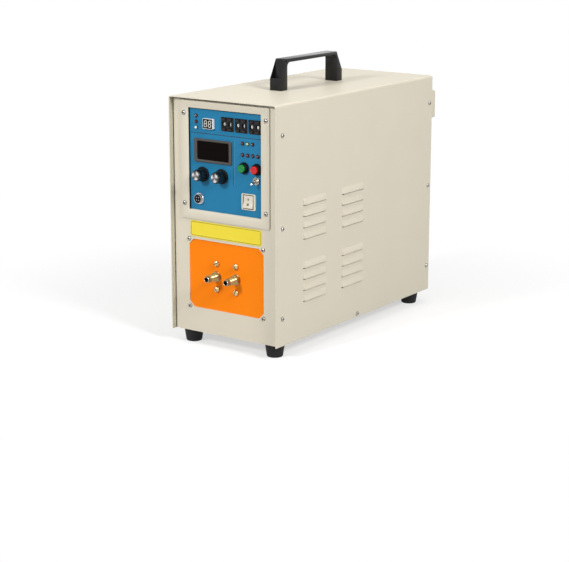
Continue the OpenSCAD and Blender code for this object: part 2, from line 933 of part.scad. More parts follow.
module button_cap() {
    bar_y(cap_d / 2, -cap_proud, cap_seat + cap_flange_t);
    bar_y(cap_d / 2 + cap_flange, cap_seat + slide_gap, cap_seat + slide_gap + cap_flange_t);
    bar_y(stem_r, cap_seat, cap_seat + slide_gap + cap_flange_t + stem_l);
}

module start_button() color("green") on_plate(start_share) button_cap();

module stop_button() color("red") on_plate(stop_share) button_cap();

module potentiometers() color(steel) for (s = knob_shares) on_plate(s) difference() {
    union() {
        bar_y(pot_r, plate_t, plate_t + pot_depth);
        bar_y(bushing_r, -bushing_proud, plate_t + over);
        nut_y(nut_r, -nut_t, 0);
    }
    bar_y(shaft_r + run, -bushing_proud - over, shaft_back + shaft_end_room);
}

module knob(share) color(black) on_plate(share) {
    difference() {
        union() {
            bar_y(knob_d / 2, -skirt_gap - skirt_t, -skirt_gap);
            bar_y(knob_tip_r, knob_cap_t - knob_h, -skirt_gap - skirt_t, knob_grip_r);
            translate([knob_d / 4, 0, 0])
                block_y(knob_d / 2, pointer_w, -skirt_gap - skirt_t - pointer_t, -skirt_gap);
        }
        bar_y(knob_room_r, -skirt_gap - knob_room_t, over - skirt_gap);
        bar_y(shaft_r, -shaft_front, 0);
    }
    bar_y(knob_cap_r, -knob_h, knob_cap_t - knob_h);
    bar_y(shaft_r, -shaft_front, shaft_back);
}

module toggle_body() color(steel) on_plate(toggle_share) difference() {
    union() {
        block_y(toggle_body_w, toggle_body_w, plate_t, toggle_body_depth);
        bar_y(toggle_bushing_r, -toggle_bushing_proud, plate_t + over);
        nut_y(toggle_nut_r, -toggle_nut_t, 0);
    }
    bar_y(throat_r, -throat_y - over, -lever_pivot);
    bar_y(mouth_r, -toggle_bushing_proud, -throat_y, throat_r);
    bar_y(mouth_r, -toggle_bushing_proud - over, -toggle_bushing_proud);
    bar_y(ball_r + fit, -lever_pivot - seat_step, plate_t + over);
    bar_y(tail_room_r, plate_t, toggle_body_depth - toggle_wall);
}

// The lever leans down at rest
module toggle_lever() color(steel) on_plate(toggle_share)
    translate([0, -lever_pivot, 0]) rotate([lever_tilt, 0, 0]) {
        sphere(ball_r);
        bar_y(lever_tip_r, -lever_l, 0, lever_root_r);
        translate([0, -lever_l, 0]) sphere(lever_tip_r);
        bar_y(lever_tail_r, 0, lever_tail_l);
    }

module rocker_frame() color(ivory) on_plate(rocker_share) {
    difference() {
        union() {
            upright(-rocker_proud, rocker_proud) round_rect(rocker_w, rocker_h, rocker_corner);
            block_y(rocker_w - 2 * rocker_body_inset, rocker_h - 2 * rocker_body_inset, -over,
                rocker_body_depth);
        }
        block_y(rocker_body_w + 2 * pivot_gap, 2 * (rocker_r + rocker_room), -rocker_proud - over,
            rocker_body_depth - rocker_end_wall);
        bar_x(pivot_r + run, rocker_body_w + 2 * (pivot_l + pivot_gap));
    }
}

// The rocker rests with its upper half pressed in
module power_rocker() color(ivory) on_plate(rocker_share) rotate([-rocker_tilt, 0, 0]) {
    rise = rocker_r * tan(rocker_tilt);
    sideways(rocker_body_w) intersection() {
        circle(rocker_r);
        polygon([[rocker_back, -rocker_r], [rocker_back, rocker_r],
            [-rocker_face - rise, rocker_r], [-rocker_face, 0], [-rocker_face - rise, -rocker_r]]);
    }
    bar_x(pivot_r, rocker_body_w + 2 * pivot_l);
}

// A threaded shell on a flange, filled by an insert that carries the pins
module foot_switch_socket() color(steel) on_plate(socket_share) {
    insert_y = socket_sink - socket_proud;
    difference() {
        union() {
            bar_y(socket_d / 2, -socket_flange_t, 0);
            bar_y(socket_barrel_r, -socket_proud, socket_barrel_l);
        }
        bar_y(socket_bore_r, -socket_proud - over, insert_y);
    }
    for (i = [0:socket_pins - 1]) rotate([0, (i + 1 / 2) * 360 / socket_pins, 0])
        translate([0, 0, socket_pin_circle_r])
            bar_y(socket_pin_r, insert_y - socket_pin_l, insert_y + over);
}

module at_fittings() {
    for (s = [-1, 1]) translate([s * fitting_x, plate_y, board_z]) children();
}

module at_brass_screws() {
    for (sz = [-1, 1]) translate([0, 0, sz * brass_rise]) at_fittings() children();
}

// Barrel with nut and stepped tip in front of the board, clamping block and hose tail behind
module output_fitting() {
    tip = front_y - fitting_reach - plate_y;
    difference() {
        union() {
            bar_y(fitting_d / 2, tip + fitting_tip_t, board_t + over);
            bar_y(fitting_d / 2 - fitting_tip_step, tip, tip + fitting_tip_t);
            nut_y(fitting_nut_r, -fitting_nut_t, 0);
            block_y(block_w, block_h, board_t, board_t + block_t);
            translate([block_w / 2 + barb_l / 2, board_t + block_t / 2, 0])
                bar_x(barb_r, barb_l + 2 * over);
        }
        bar_y(fitting_bore / 2, tip - over, board_t + block_t / 2);
        for (sz = [-1, 1]) translate([0, 0, sz * brass_rise])
            bar_y(brass_shank_r + thread_fit, 0, board_t + block_t + over);
    }
}

module output_fittings() color(brass) for (side = [0, 1]) mirror([side, 0, 0])
    translate([fitting_x, plate_y, board_z]) output_fitting();

module brass_screws() color(brass) at_brass_screws() difference() {
    union() {
        bar_y(brass_head_r, -brass_head_h, 0);
        bar_y(brass_shank_r, 0, board_t + block_t);
    }
    block_y(2 * brass_head_r + over, 2 * slot_w, -brass_head_h - over, slot_depth - brass_head_h);
}

// A closed frame with a middle leg, standing on the cradle
module transformer_core() color([0.25, 0.25, 0.27]) {
    window = core_h - 2 * core_yoke;
    side = (core_w - core_leg) / 2 - core_side;
    upright(core_y, core_d) translate([0, board_z]) difference() {
        square([core_w, core_h], center = true);
        for (s = [-1, 1]) translate([s * (core_leg / 2 + side / 2), 0])
            square([side, window], center = true);
    }
}

// Two coils around the middle leg, and the tube that loops once round it between them
module transformer_winding() color(copper) {
    window = core_h - 2 * core_yoke;
    coil_h = window / 2 - tube_d / 2 - winding_room;
    inner_y = core_d / 2 + fit;
    inner_w = core_leg / 2 + fit;
    outer_w = inner_w + winding_side;
    for (s = [-1, 1]) translate([0, core_y + core_d / 2, board_z + s * (window - coil_h) / 2])
        linear_extrude(coil_h, center = true) difference() {
            square([2 * outer_w, 2 * (inner_y + winding_side)], center = true);
            square([2 * inner_w, 2 * inner_y], center = true);
        }
    tube_end = core_y + core_d + tube_back;
    translate([0, 0, board_z]) {
        for (s = [-1, 1]) translate([s * fitting_x, 0, 0]) {
            bar_y(tube_d / 2, block_y + block_t, tube_end);
            translate([0, tube_end, 0]) sphere(tube_d / 2);
        }
        translate([0, tube_end, 0]) bar_x(tube_d / 2, fitting_pitch);
    }
}

// A bridge: flat top, two legs and two feet on the pan
module equipment_shelf() color(steel) {
    translate([-shelf_x, shelf_y, shelf_top - sheet]) cube([2 * shelf_x, shelf_d, sheet]);
    for (s = [0, 1]) {
        leg_y = s == 0 ? shelf_y : shelf_y + shelf_d - sheet;
        foot_at = s == 0 ? shelf_y : shelf_y + shelf_d - shelf_foot;
        translate([-shelf_leg_x, leg_y, floor_z])
            cube([2 * shelf_leg_x, sheet, shelf_top - sheet / 2 - floor_z]);
        translate([-shelf_leg_x, foot_at, floor_z]) cube([2 * shelf_leg_x, shelf_foot, sheet]);
    }
}

cold_y = shelf_y + cold_edge;
cold_d = shelf_d - 2 * cold_edge;
cold_top = shelf_top + cold_t;
module cold_plate() color([0.8, 0.8, 0.82]) {
    translate([-cold_w / 2, cold_y, shelf_top]) cube([cold_w, cold_d, cold_t]);
    translate([-nozzle_x, 0, shelf_top + cold_t / 2]) {
        bar_y(barb_r, cold_y - barb_l, cold_y + over);
        bar_y(barb_r, cold_y + cold_d - over, cold_y + cold_d + barb_l);
    }
}

module power_modules() color(black) for (s = [-1, 1])
    translate([s * module_x, cold_y + cold_d / 2, cold_top]) {
        translate([-module_w / 2, -module_d / 2, 0]) cube([module_w, module_d, module_h]);
        for (k = [-1, 0, 1]) translate([0, k * module_d / 3, module_h - over])
            cylinder(h = terminal_h + over, r = terminal_r);
    }

module capacitor_bank() color([0.2, 0.35, 0.6]) for (sx = [-1, 1], k = [0, 1])
    translate([sx * can_x, shelf_y + can_first + k * can_pitch + can_first / 2, floor_z]) {
        cylinder(h = can_h, r = can_d / 2);
        cylinder(h = can_h + stud_h, r = stud_r);
    }

// The board stands on four posts behind the control plate
module control_board() color([0.1, 0.4, 0.2]) {
    board_y = plate_y + meter_depth + pcb_gap;
    upright(board_y, pcb_t) translate([0, window_z]) square([pcb_w, pcb_h], center = true);
    for (sx = [-1, 1], sz = [-1, 1]) translate([sx * post_x, 0, window_z + sz * post_z])
        bar_y(post_r, plate_y + plate_t, board_y + pcb_t / 2);
    for (c = chip_shares) translate([c[0] * pcb_w, 0, window_z + c[1] * pcb_h])
        block_y(chip_w, chip_w, board_y + pcb_t / 2, board_y + pcb_t + chip_h);
}

// A sloping box, open towards the rear panel, with a flange above and below
module rear_hood() color(beige) translate([0, back_y, 0]) difference() {
    union() {
        sideways(hood_w) polygon([[0, hood_bottom], [hood_d, hood_bottom],
            [hood_d, hood_top - hood_slope], [0, hood_top]]);
        translate([-hood_w / 2, 0, hood_bottom - hood_flange])
            cube([hood_w, hood_t, hood_h + 2 * hood_flange]);
    }
    sideways(hood_w - 2 * hood_t) polygon([[-over, hood_bottom + hood_t],
        [hood_d - hood_t, hood_bottom + hood_t],
        [hood_d - hood_t, hood_top - hood_slope - hood_t], [-over, hood_top - hood_t]]);
    translate([0, -back_y, 0]) at_hood_screws() screw_hole();
    translate([gland_x, hood_d / 2, hood_bottom - over])
        cylinder(h = hood_t + 2 * over, r = gland_r + fit);
}

module terminal_block() color(black) translate([0, back_y, hood_bottom + hood_h / 2]) {
    block_y(terminal_w, terminal_z, 0, terminal_d - terminal_rib_d);
    for (i = [0:terminal_ribs - 1])
        translate([(i / (terminal_ribs - 1) - 1 / 2) * (terminal_w - terminal_rib_t), 0, 0])
            block_y(terminal_rib_t, terminal_z, 0, terminal_d);
    for (i = [1:terminal_ribs - 1])
        translate([((i - 1 / 2) / (terminal_ribs - 1) - 1 / 2) * (terminal_w - terminal_rib_t),
            0, 0])
            bar_y(terminal_screw_r, 0, terminal_d - terminal_rib_d + slot_depth);
}

// The gland hangs from the hood's floor, held by a nut on either side
module cable_gland() color(black) translate([gland_x, back_y + hood_d / 2, hood_bottom])
    difference() {
        union() {
            translate([0, 0, -gland_out]) cylinder(h = gland_out + gland_in, r = gland_r);
            translate([0, 0, -gland_nut_t]) cylinder(h = gland_nut_t, r = gland_nut_r, $fn = 6);
            translate([0, 0, hood_t]) cylinder(h = gland_nut_t, r = gland_nut_r, $fn = 6);
        }
        translate([0, 0, -gland_out - over])
            cylinder(h = gland_out + gland_in + 2 * over, r = gland_bore_r);
    }

module at_nozzles() {
    for (s = [-1, 1]) translate([s * nozzle_x, back_y, bottom_z + nozzle_z]) children();
}

module water_nozzles() color(brass) at_nozzles() difference() {
    union() {
        bar_y(nozzle_d / 2, -nozzle_inner, nozzle_l - rim_w - groove_w);
        bar_y(nozzle_d / 2 - groove_depth, -nozzle_inner, nozzle_l);
        nut_y(nozzle_nut_r, 0, nozzle_nut_t);
        nut_y(nozzle_nut_r, -sheet - nozzle_nut_t, -sheet);
        bar_y(nozzle_d / 2, nozzle_l - rim_w, nozzle_l);
    }
    bar_y(nozzle_bore_r, -nozzle_inner - over, nozzle_l + over);
}

// Rounds the corners of a route: each inner point becomes a short curve
corner_steps = 5;
corner_share = 0.45;
hose_sides = 8;
function blend(a, b, t) = a + (b - a) * t;
function rounded(route) = concat([route[0]],
    [for (i = [1:len(route) - 2]) let (r = corner_share,
        a = blend(route[i], route[i - 1], r), b = blend(route[i], route[i + 1], r))
        for (k = [0:corner_steps]) let (t = k / corner_steps)
            blend(blend(a, route[i], t), blend(route[i], b, t), t)],
    [route[len(route) - 1]]);

// A direction that no stretch of a hose runs along
hose_ref = [0.3, 0.5, 0.81];
function unit(v) = v / norm(v);
function heading(p, i) = i == 0 ? unit(p[1] - p[0])
    : i == len(p) - 1 ? unit(p[i] - p[i - 1]) : unit(p[i + 1] - p[i - 1]);
function hose_ring(p, i, r) = let (t = heading(p, i), u = unit(cross(t, hose_ref)),
    v = cross(t, u)) [for (k = [0:hose_sides - 1]) let (a = 360 * k / hose_sides)
        p[i] + r * (u * cos(a) + v * sin(a))];

module hose(route) {
    p = rounded(route);
    n = hose_sides;
    rings = len(p);
    points = [for (i = [0:rings - 1]) each hose_ring(p, i, hose_d / 2)];
    sides = [for (i = [0:rings - 2], k = [0:n - 1])
        let (a = i * n + k, b = i * n + (k + 1) % n) each [[a, b, b + n], [a, b + n, a + n]]];
    first = [for (k = [n - 1:-1:0]) k];
    last = [for (k = [0:n - 1]) (rings - 1) * n + k];
    polyhedron(points, concat([first], sides, [last]));
}

// Feed to the cold plate, from there to the left fitting, and back from the right fitting
hose_lane = inner_x - hose_d;
module water_hoses() color([0.75, 0.8, 0.85]) {
    nozzle_end = [0, back_y - nozzle_inner, bottom_z + nozzle_z];
    cold_z = shelf_top + cold_t / 2;
    barb_tip = [fitting_x + block_w / 2 + barb_l + over, block_y + block_t / 2, board_z];
    cold_back = cold_y + cold_d + barb_l;
    cold_front = cold_y - barb_l;
    bend = hose_d * 2;
    hose([nozzle_end - [nozzle_x, 0, 0], nozzle_end - [nozzle_x, bend, 0],
        [-nozzle_x, cold_back + bend, cold_z], [-nozzle_x, cold_back, cold_z]]);
    hose([[-nozzle_x, cold_front, cold_z], [-nozzle_x, cold_front - bend, cold_z],
        [-barb_tip[0] - bend, barb_tip[1], barb_tip[2]], [-barb_tip[0], barb_tip[1], barb_tip[2]]]);
    hose([barb_tip, barb_tip + [bend, 0, 0], [hose_lane, barb_tip[1] + bend, floor_z + bend],
        [hose_lane, cold_back, floor_z + bend], [nozzle_x, back_y - nozzle_inner - bend, nozzle_end[2]],
        nozzle_end + [nozzle_x, 0, 0]]);
}

base_pan();
front_panel();
rear_panel();
cover_shell();
control_bezel();
control_plate();
output_board();
label_plate();
rear_hood();
equipment_shelf();
carry_handle();
rubber_feet();
case_screws();
mounting_screws();
meter_case();
meter_window();
timer_display();
indicator_lamps();
preset_bodies();
for (n = [1:6]) {
    digit_wheel(n);
    preset_key(n, 1);
    preset_key(n, -1);
}
button_rings();
start_button();
stop_button();
potentiometers();
knob(knob_shares[0]);  // left_knob
knob(knob_shares[1]);  // right_knob
toggle_body();
toggle_lever();
rocker_frame();
power_rocker();
foot_switch_socket();
output_fittings();
brass_screws();
transformer_core();
transformer_winding();
cold_plate();
power_modules();
capacitor_bank();
control_board();
water_nozzles();
water_hoses();
terminal_block();
cable_gland();
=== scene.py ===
import math
import bpy
import bmesh
from mathutils import Matrix, Vector


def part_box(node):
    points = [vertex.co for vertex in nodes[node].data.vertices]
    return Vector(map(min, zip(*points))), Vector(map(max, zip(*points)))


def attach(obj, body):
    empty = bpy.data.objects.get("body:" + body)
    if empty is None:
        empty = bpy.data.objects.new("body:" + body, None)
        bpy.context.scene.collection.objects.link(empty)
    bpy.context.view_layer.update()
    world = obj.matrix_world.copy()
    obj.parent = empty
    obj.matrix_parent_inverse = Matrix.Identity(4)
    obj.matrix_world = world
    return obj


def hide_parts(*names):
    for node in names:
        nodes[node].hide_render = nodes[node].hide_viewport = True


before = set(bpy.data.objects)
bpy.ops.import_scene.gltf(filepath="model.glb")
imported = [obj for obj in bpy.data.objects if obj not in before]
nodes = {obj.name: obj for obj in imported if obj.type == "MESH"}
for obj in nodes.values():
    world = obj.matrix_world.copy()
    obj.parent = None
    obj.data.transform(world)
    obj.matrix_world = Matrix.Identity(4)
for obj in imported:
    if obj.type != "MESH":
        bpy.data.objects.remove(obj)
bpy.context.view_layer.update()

mm = 0.001
right, back, up = Vector((1, 0, 0)), Vector((0, 1, 0)), Vector((0, 0, 1))
forward = -back
near = 1e-6  # what counts as the same place, in metres
touching = 1e-7  # what a cut takes as touching, in metres
aligned = 0.9  # cosine from which two directions count as the same


# Helpers: boxes of the CAD nodes, colours, shader nodes

def lowOf(name):
    return Vector(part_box(name)[0])


def highOf(name):
    return Vector(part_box(name)[1])


def sizeOf(name):
    # In mm
    return (highOf(name) - lowOf(name)) / mm


def middleOf(name, y=None):
    # Middle of a node's box, moved to the depth y if one is given
    middle = (lowOf(name) + highOf(name)) / 2
    return middle if y is None else Vector((middle.x, y, middle.z))


def hexColor(code):
    channels = [int(code[i:i + 2], 16) / 255 for i in (0, 2, 4)]
    return tuple(c / 12.92 if c <= 0.04045 else ((c + 0.055) / 1.055) ** 2.4 for c in channels) + (1,)


def addNode(tree, kind, settings=None, links=None):
    node = tree.nodes.new(kind)
    for key, value in (settings or {}).items():
        if isinstance(key, int) or key in node.inputs:
            node.inputs[key].default_value = value
        else:
            setattr(node, key, value)
    for key, source in (links or {}).items():
        tree.links.new(source, node.inputs[key])
    return node


# Each finish: the real surface and how it was made, then what that gives the eye.
# Blotches, grain and depth are in mm; a grain too fine to show is drawn coarser.
finishes = {
    # Powder-coated sheet steel: even satin beige with a fine orange peel
    "powderCoatBeige": {"color": "D2CAB7", "second": "D6CFBD", "blotch": 60, "rough": 0.46,
                        "grain": 2.2, "depth": 0.05, "specular": 0.4},
    # The same coat, darker, greyer and duller, on the inner faces of the cover
    "powderCoatInner": {"color": "B3AF9A", "second": "BAB6A2", "blotch": 40, "rough": 0.55,
                       "grain": 2.2, "depth": 0.05, "specular": 0.3},
    # Screen-printed overlay film: flat even blue with a very fine texture
    "printedOverlayBlue": {"color": "1C739C", "second": "207AA4", "blotch": 45, "rough": 0.42,
                           "grain": 0.9, "depth": 0.03, "specular": 0.2},
    # Screen-printed dark ink: matt lines a trace above the film
    "printedInk": {"color": "0E2433", "second": "11293A", "blotch": 10, "rough": 0.5,
                   "grain": 0.8, "depth": 0.02},
    # Pale stroke beside the dark line: a light blue that sets the dark line off
    "paleStroke": {"color": "5A9DBD", "second": "66A6C4", "blotch": 10, "rough": 0.5,
                    "grain": 0.8, "depth": 0.02},
    # Fibre laminate painted orange: smooth, with a slow drift of tone
    "laminateOrange": {"color": "F67D04", "second": "FA8710", "blotch": 90, "rough": 0.4,
                       "grain": 1.6, "depth": 0.03, "specular": 0.1},
    # Vinyl film: clear yellow, slightly glossy, nearly flat
    "vinylYellow": {"color": "E6D136", "second": "EAD741", "blotch": 30, "rough": 0.38,
                    "grain": 3.0, "depth": 0.04, "specular": 0.25},
    # Ink printed on the same film: a thin dark border with the film's gloss
    "vinylBlack": {"color": "29261A", "second": "322E20", "blotch": 10, "rough": 0.4,
                   "grain": 2.0, "depth": 0.02},
    # ABS from a spark-eroded mould: even black with a light texture
    "absBlack": {"color": "0E0E0F", "second": "131314", "blotch": 14, "rough": 0.36,
                 "grain": 0.9, "depth": 0.06, "specular": 0.25},
    # The carry handle's smoother moulding: pale sheen where it is seen at a flat angle
    "absBlackSatin": {"color": "0B0B0C", "second": "101011", "blotch": 14, "rough": 0.15,
                      "grain": 1.2, "depth": 0.02, "specular": 0.32},
    # Textured ABS on skirts, collars and in hollows: black without glints
    "absBlackMatt": {"color": "0A0A0B", "second": "0F0F10", "blotch": 10, "rough": 0.55,
                     "grain": 0.8, "depth": 0.04, "specular": 0.12},
    # ABS from a polished mould: deep black with small sharp highlights
    "absBlackGloss": {"color": "08080A", "second": "0C0C0E", "blotch": 10, "rough": 0.13,
                      "grain": 1.5, "depth": 0.015, "specular": 0.4, "coat": 0.5},
    # Moulded ABS of the display frame: warm dark grey with a dull bloom
    "absGreyBrown": {"color": "403D3A", "second": "484440", "blotch": 16, "rough": 0.5,
                     "grain": 0.8, "depth": 0.06, "specular": 0.35},
    # White ABS of the timer display: clean, softly glossy
    "absWhite": {"color": "E8E8E6", "second": "EFEFEC", "blotch": 12, "rough": 0.32,
                 "grain": 1.0, "depth": 0.03},
    # Moulded nylon of the rocker switch: warm ivory with a soft shine
    "nylonIvory": {"color": "CDC6B6", "second": "D4CDBE", "blotch": 12, "rough": 0.34,
                   "grain": 0.9, "depth": 0.05, "coat": 0.1},
    # Tinted ABS of the preset keys: nearly black with a red-brown cast
    "absRedBrown": {"color": "170E0E", "second": "1E1211", "blotch": 6, "rough": 0.3,
                    "grain": 0.7, "depth": 0.04, "specular": 0.35},
    # Moulded acrylic caps: full green and full red with a clear gloss
    "acrylicGreen": {"color": "057832", "second": "09833A", "blotch": 8, "rough": 0.14,
                     "grain": 2.0, "depth": 0.01, "specular": 0.4},
    "acrylicRed": {"color": "BE0D0A", "second": "C91510", "blotch": 8, "rough": 0.14,
                   "grain": 2.0, "depth": 0.01, "specular": 0.4},
    # Cast epoxy lenses of unlit lamps: dark red, pale green and clear, all wet-looking
    "lensRed": {"color": "4A1118", "second": "5E1A22", "blotch": 3, "rough": 0.1,
                "grain": 2.0, "depth": 0.01, "coat": 0.6},
    "lensGreen": {"color": "A8C98A", "second": "B8D69C", "blotch": 3, "rough": 0.1,
                  "grain": 2.0, "depth": 0.01, "coat": 0.6},
    "lensClear": {"color": "DDE6E4", "second": "E8EFEC", "blotch": 3, "rough": 0.08,
                  "grain": 2.0, "depth": 0.01, "coat": 0.6},
    # Smoked acrylic sheet: almost black, reflects little
    "smokedAcrylic": {"color": "0A0706", "second": "0E0908", "blotch": 25, "rough": 0.14,
                      "grain": 6.0, "depth": 0.01, "specular": 0.03},
    # Hot-stamped numbers on the digit wheels: plain matt white
    "digitWhite": {"color": "F0F0EC", "second": "F6F6F2", "blotch": 4, "rough": 0.45,
                   "grain": 0.8, "depth": 0.02},
    # Moulded bars of the timer's digits, unlit: pale grey
    "digitGrey": {"color": "D2CDC4", "second": "DAD6CE", "blotch": 4, "rough": 0.4,
                  "grain": 0.8, "depth": 0.02},
    # Filled rubber: dull black with a moulded grain
    "rubberBlack": {"color": "131315", "second": "1B1B1D", "blotch": 9, "rough": 0.72,
                    "grain": 0.8, "depth": 0.12, "specular": 0.3},
    # Dull, nearly black strips under the cover's edge, under the control frame and round its window:
    # painted shade
    "paintedShadeFoam": {"color": "1D1B18", "second": "262320", "blotch": 5, "rough": 0.9,
                 "grain": 0.6, "depth": 0.1, "specular": 0.1},
    # Zinc-plated steel: pale grey metal, a little cloudy
    "zincSteel": {"color": "BAB9B5", "second": "CDCCC8", "blotch": 3, "rough": 0.34,
                  "grain": 0.6, "depth": 0.04, "metal": 1},
    # Bright chrome plate: a mirror that takes the studio's white
    "chromePlate": {"color": "C9CACD", "second": "D5D6D9", "blotch": 6, "rough": 0.08,
                    "grain": 2.0, "depth": 0.01, "metal": 1},
    # Turned brass: warm metal with fine turning marks
    "brassTurned": {"color": "9F8758", "second": "AF9668", "blotch": 5, "rough": 0.3,
                    "grain": 0.5, "depth": 0.04, "metal": 1},
    # Brass screws: paler than the fittings
    "brassBright": {"color": "C8AD79", "second": "D6BC8A", "blotch": 4, "rough": 0.3,
                    "grain": 0.5, "depth": 0.04, "metal": 1},
    # Spun aluminium inlay of the knobs: bright, with dark fans round its middle that are a painted
    # reflection
    "spunAluminium": {"color": "E4E5E7", "second": "EDEEF0", "blotch": 2, "rough": 0.2,
                      "grain": 0.5, "depth": 0.03, "metal": 1, "paintedReflectionDark": "454648"},
    # Nickel-plated brass: warm grey, half bright
    "nickelRing": {"color": "A5A097", "second": "B7B2A9", "blotch": 4, "rough": 0.22,
                   "grain": 0.5, "depth": 0.03, "metal": 1},
    # Dark and dull, painted inside bores, slots, screw seats and the rocker's well: painted shade
    "paintedShadeDark": {"color": "1B1612", "second": "241D17", "blotch": 4, "rough": 0.7,
                 "grain": 0.8, "depth": 0.03},
    # Hot-dip galvanised sheet: mid-grey metal with soft clouds
    "galvanisedSheet": {"color": "A7A9AB", "second": "B9BBBD", "blotch": 12, "rough": 0.42,
                        "grain": 1.5, "depth": 0.03, "metal": 1},
    # Milled aluminium: pale satin metal
    "milledAluminium": {"color": "C4C6C8", "second": "D0D2D4", "blotch": 10, "rough": 0.35,
                        "grain": 0.8, "depth": 0.04, "metal": 1},
    # Sintered ferrite: chalky charcoal
    "ferriteGrey": {"color": "34343A", "second": "3F3F45", "blotch": 9, "rough": 0.6,
                    "grain": 1.2, "depth": 0.08},
    # Drawn copper tube: warm orange metal
    "copperTube": {"color": "C17A52", "second": "CD8B63", "blotch": 8, "rough": 0.3,
                   "grain": 0.7, "depth": 0.03, "metal": 1},
    # Shrunk plastic sleeve of the capacitors: plain glossy blue
    "canBlue": {"color": "2F5590", "second": "37609D", "blotch": 20, "rough": 0.35,
                "grain": 1.5, "depth": 0.02},
    # Solder mask over laminate: glossy green
    "boardGreen": {"color": "155C33", "second": "1B6A3C", "blotch": 10, "rough": 0.35,
                   "grain": 1.0, "depth": 0.04},
    # Extruded soft hose: pale grey-blue
    "hosePale": {"color": "B4C4CE", "second": "C1CFD8", "blotch": 12, "rough": 0.3,
                 "grain": 1.5, "depth": 0.03},
}
finishBase = {"blotchDetail": 3.0, "grainDetail": 2.0, "roughSpread": 0.12, "relief": 0.6,
              "specular": 0.5, "coatRough": 0.15}


def makeFinish(name, spec):
    # Slow blotches blend two tones and vary the gloss; a finer grain lifts the surface
    material = bpy.data.materials.new(name)
    material.use_nodes = True
    tree = material.node_tree
    shader = tree.nodes["Principled BSDF"]
    place = addNode(tree, "ShaderNodeTexCoord").outputs["Object"]
    blotch = addNode(tree, "ShaderNodeTexNoise", {"Scale": 1 / (spec["blotch"] * mm),
                                                  "Detail": finishBase["blotchDetail"]},
                     {"Vector": place}).outputs["Fac"]
    base = addNode(tree, "ShaderNodeMix", {"data_type": "RGBA", 6: hexColor(spec["color"]),
                                           7: hexColor(spec["second"])}, {0: blotch}).outputs[2]
    # A value on the vertices darkens the colour in fans: a painted reflection
    if "paintedReflectionDark" in spec:
        paintedReflection = addNode(tree, "ShaderNodeAttribute", {"attribute_name": "paintedReflection"}).outputs["Fac"]
        base = addNode(tree, "ShaderNodeMix", {"data_type": "RGBA", 7: hexColor(spec["paintedReflectionDark"])},
                       {0: paintedReflection, 6: base}).outputs[2]
    grain = addNode(tree, "ShaderNodeTexNoise", {"Scale": 1 / (spec["grain"] * mm),
                                                 "Detail": finishBase["grainDetail"]},
                    {"Vector": place}).outputs["Fac"]
    dull = addNode(tree, "ShaderNodeMapRange", {
        "To Min": spec["rough"] * (1 - finishBase["roughSpread"]),
        "To Max": spec["rough"] * (1 + finishBase["roughSpread"])}, {"Value": blotch})
    relief = addNode(tree, "ShaderNodeBump", {"Strength": finishBase["relief"],
                                              "Distance": spec["depth"] * mm}, {"Height": grain})
    shader.inputs["Metallic"].default_value = spec.get("metal", 0)
    shader.inputs["Specular IOR Level"].default_value = spec.get("specular", finishBase["specular"])
    shader.inputs["Coat Weight"].default_value = spec.get("coat", 0)
    shader.inputs["Coat Roughness"].default_value = finishBase["coatRough"]
    tree.links.new(base, shader.inputs["Base Color"])
    tree.links.new(dull.outputs["Result"], shader.inputs["Roughness"])
    tree.links.new(relief.outputs["Normal"], shader.inputs["Normal"])
    return material


materials = {name: makeFinish(name, spec) for name, spec in finishes.items()}
print("finishes made:", len(materials))


# Building blocks. Profiles, outlines, heights and bevels are in mm, and centres in metres

def joinMeshes(target, source, finish=None):
    # Adds one mesh to another, with all its faces in one finish number if that is given
    if finish is not None:
        for face in source.faces:
            face.material_index = finish
    holder = bpy.data.meshes.new("joining")
    source.to_mesh(holder)
    source.free()
    target.from_mesh(holder)
    bpy.data.meshes.remove(holder)


def bevelEdges(bm, width, segments=2, angle=30, only=None):
    edges = [e for e in bm.edges if len(e.link_faces) == 2
             and e.calc_face_angle(0) > math.radians(angle) and (only is None or only(e))]
    if edges and width > 0:
        bmesh.ops.bevel(bm, geom=edges, offset=width * mm, offset_type="OFFSET", affect="EDGES",
                        segments=segments, profile=0.5, material=-1, clamp_overlap=True)


def raiseFaces(bm, faces, shift=(0, 0, 0)):
    # Extrudes faces as one region, moves the new part and returns its vertices and faces
    made = bmesh.ops.extrude_face_region(bm, geom=faces)["geom"]
    verts = [g for g in made if isinstance(g, bmesh.types.BMVert)]
    bmesh.ops.translate(bm, vec=shift, verts=verts)
    return verts, [g for g in made if isinstance(g, bmesh.types.BMFace)]


def cutAcross(bm, point, normal):
    # Cuts an edge into every face that the plane meets
    bmesh.ops.bisect_plane(bm, geom=bm.verts[:] + bm.edges[:] + bm.faces[:], plane_co=point,
                           plane_no=normal, dist=touching)


def blockMesh(low, high, bevel=0.0, segments=2):
    # Corners are in metres
    bm = bmesh.new()
    low, high = Vector(low), Vector(high)
    bmesh.ops.create_cube(bm, size=1)
    bmesh.ops.scale(bm, vec=high - low, verts=bm.verts)
    bmesh.ops.translate(bm, vec=(low + high) / 2, verts=bm.verts)
    bevelEdges(bm, bevel, segments)
    return bm


def turnedMesh(profile, centre, axis, steps=48):
    # Spins pairs of (distance along the axis, radius) round the axis through centre
    bm = bmesh.new()
    axis, centre = Vector(axis).normalized(), Vector(centre)
    side = axis.orthogonal().normalized()
    verts = [bm.verts.new(centre + axis * (along * mm) + side * (radius * mm))
             for along, radius in profile]
    edges = [bm.edges.new(pair) for pair in zip(verts, verts[1:])]
    bmesh.ops.spin(bm, geom=verts + edges, cent=centre, axis=axis, angle=2 * math.pi, steps=steps,
                   use_merge=True)
    bmesh.ops.remove_doubles(bm, verts=bm.verts, dist=near)
    bmesh.ops.recalc_face_normals(bm, faces=bm.faces)
    return bm


def arcPoints(a, b, radius, angles):
    # Points round (a, b) at angles in degrees
    return [(a + radius * math.cos(math.radians(t)), b + radius * math.sin(math.radians(t)))
            for t in angles]


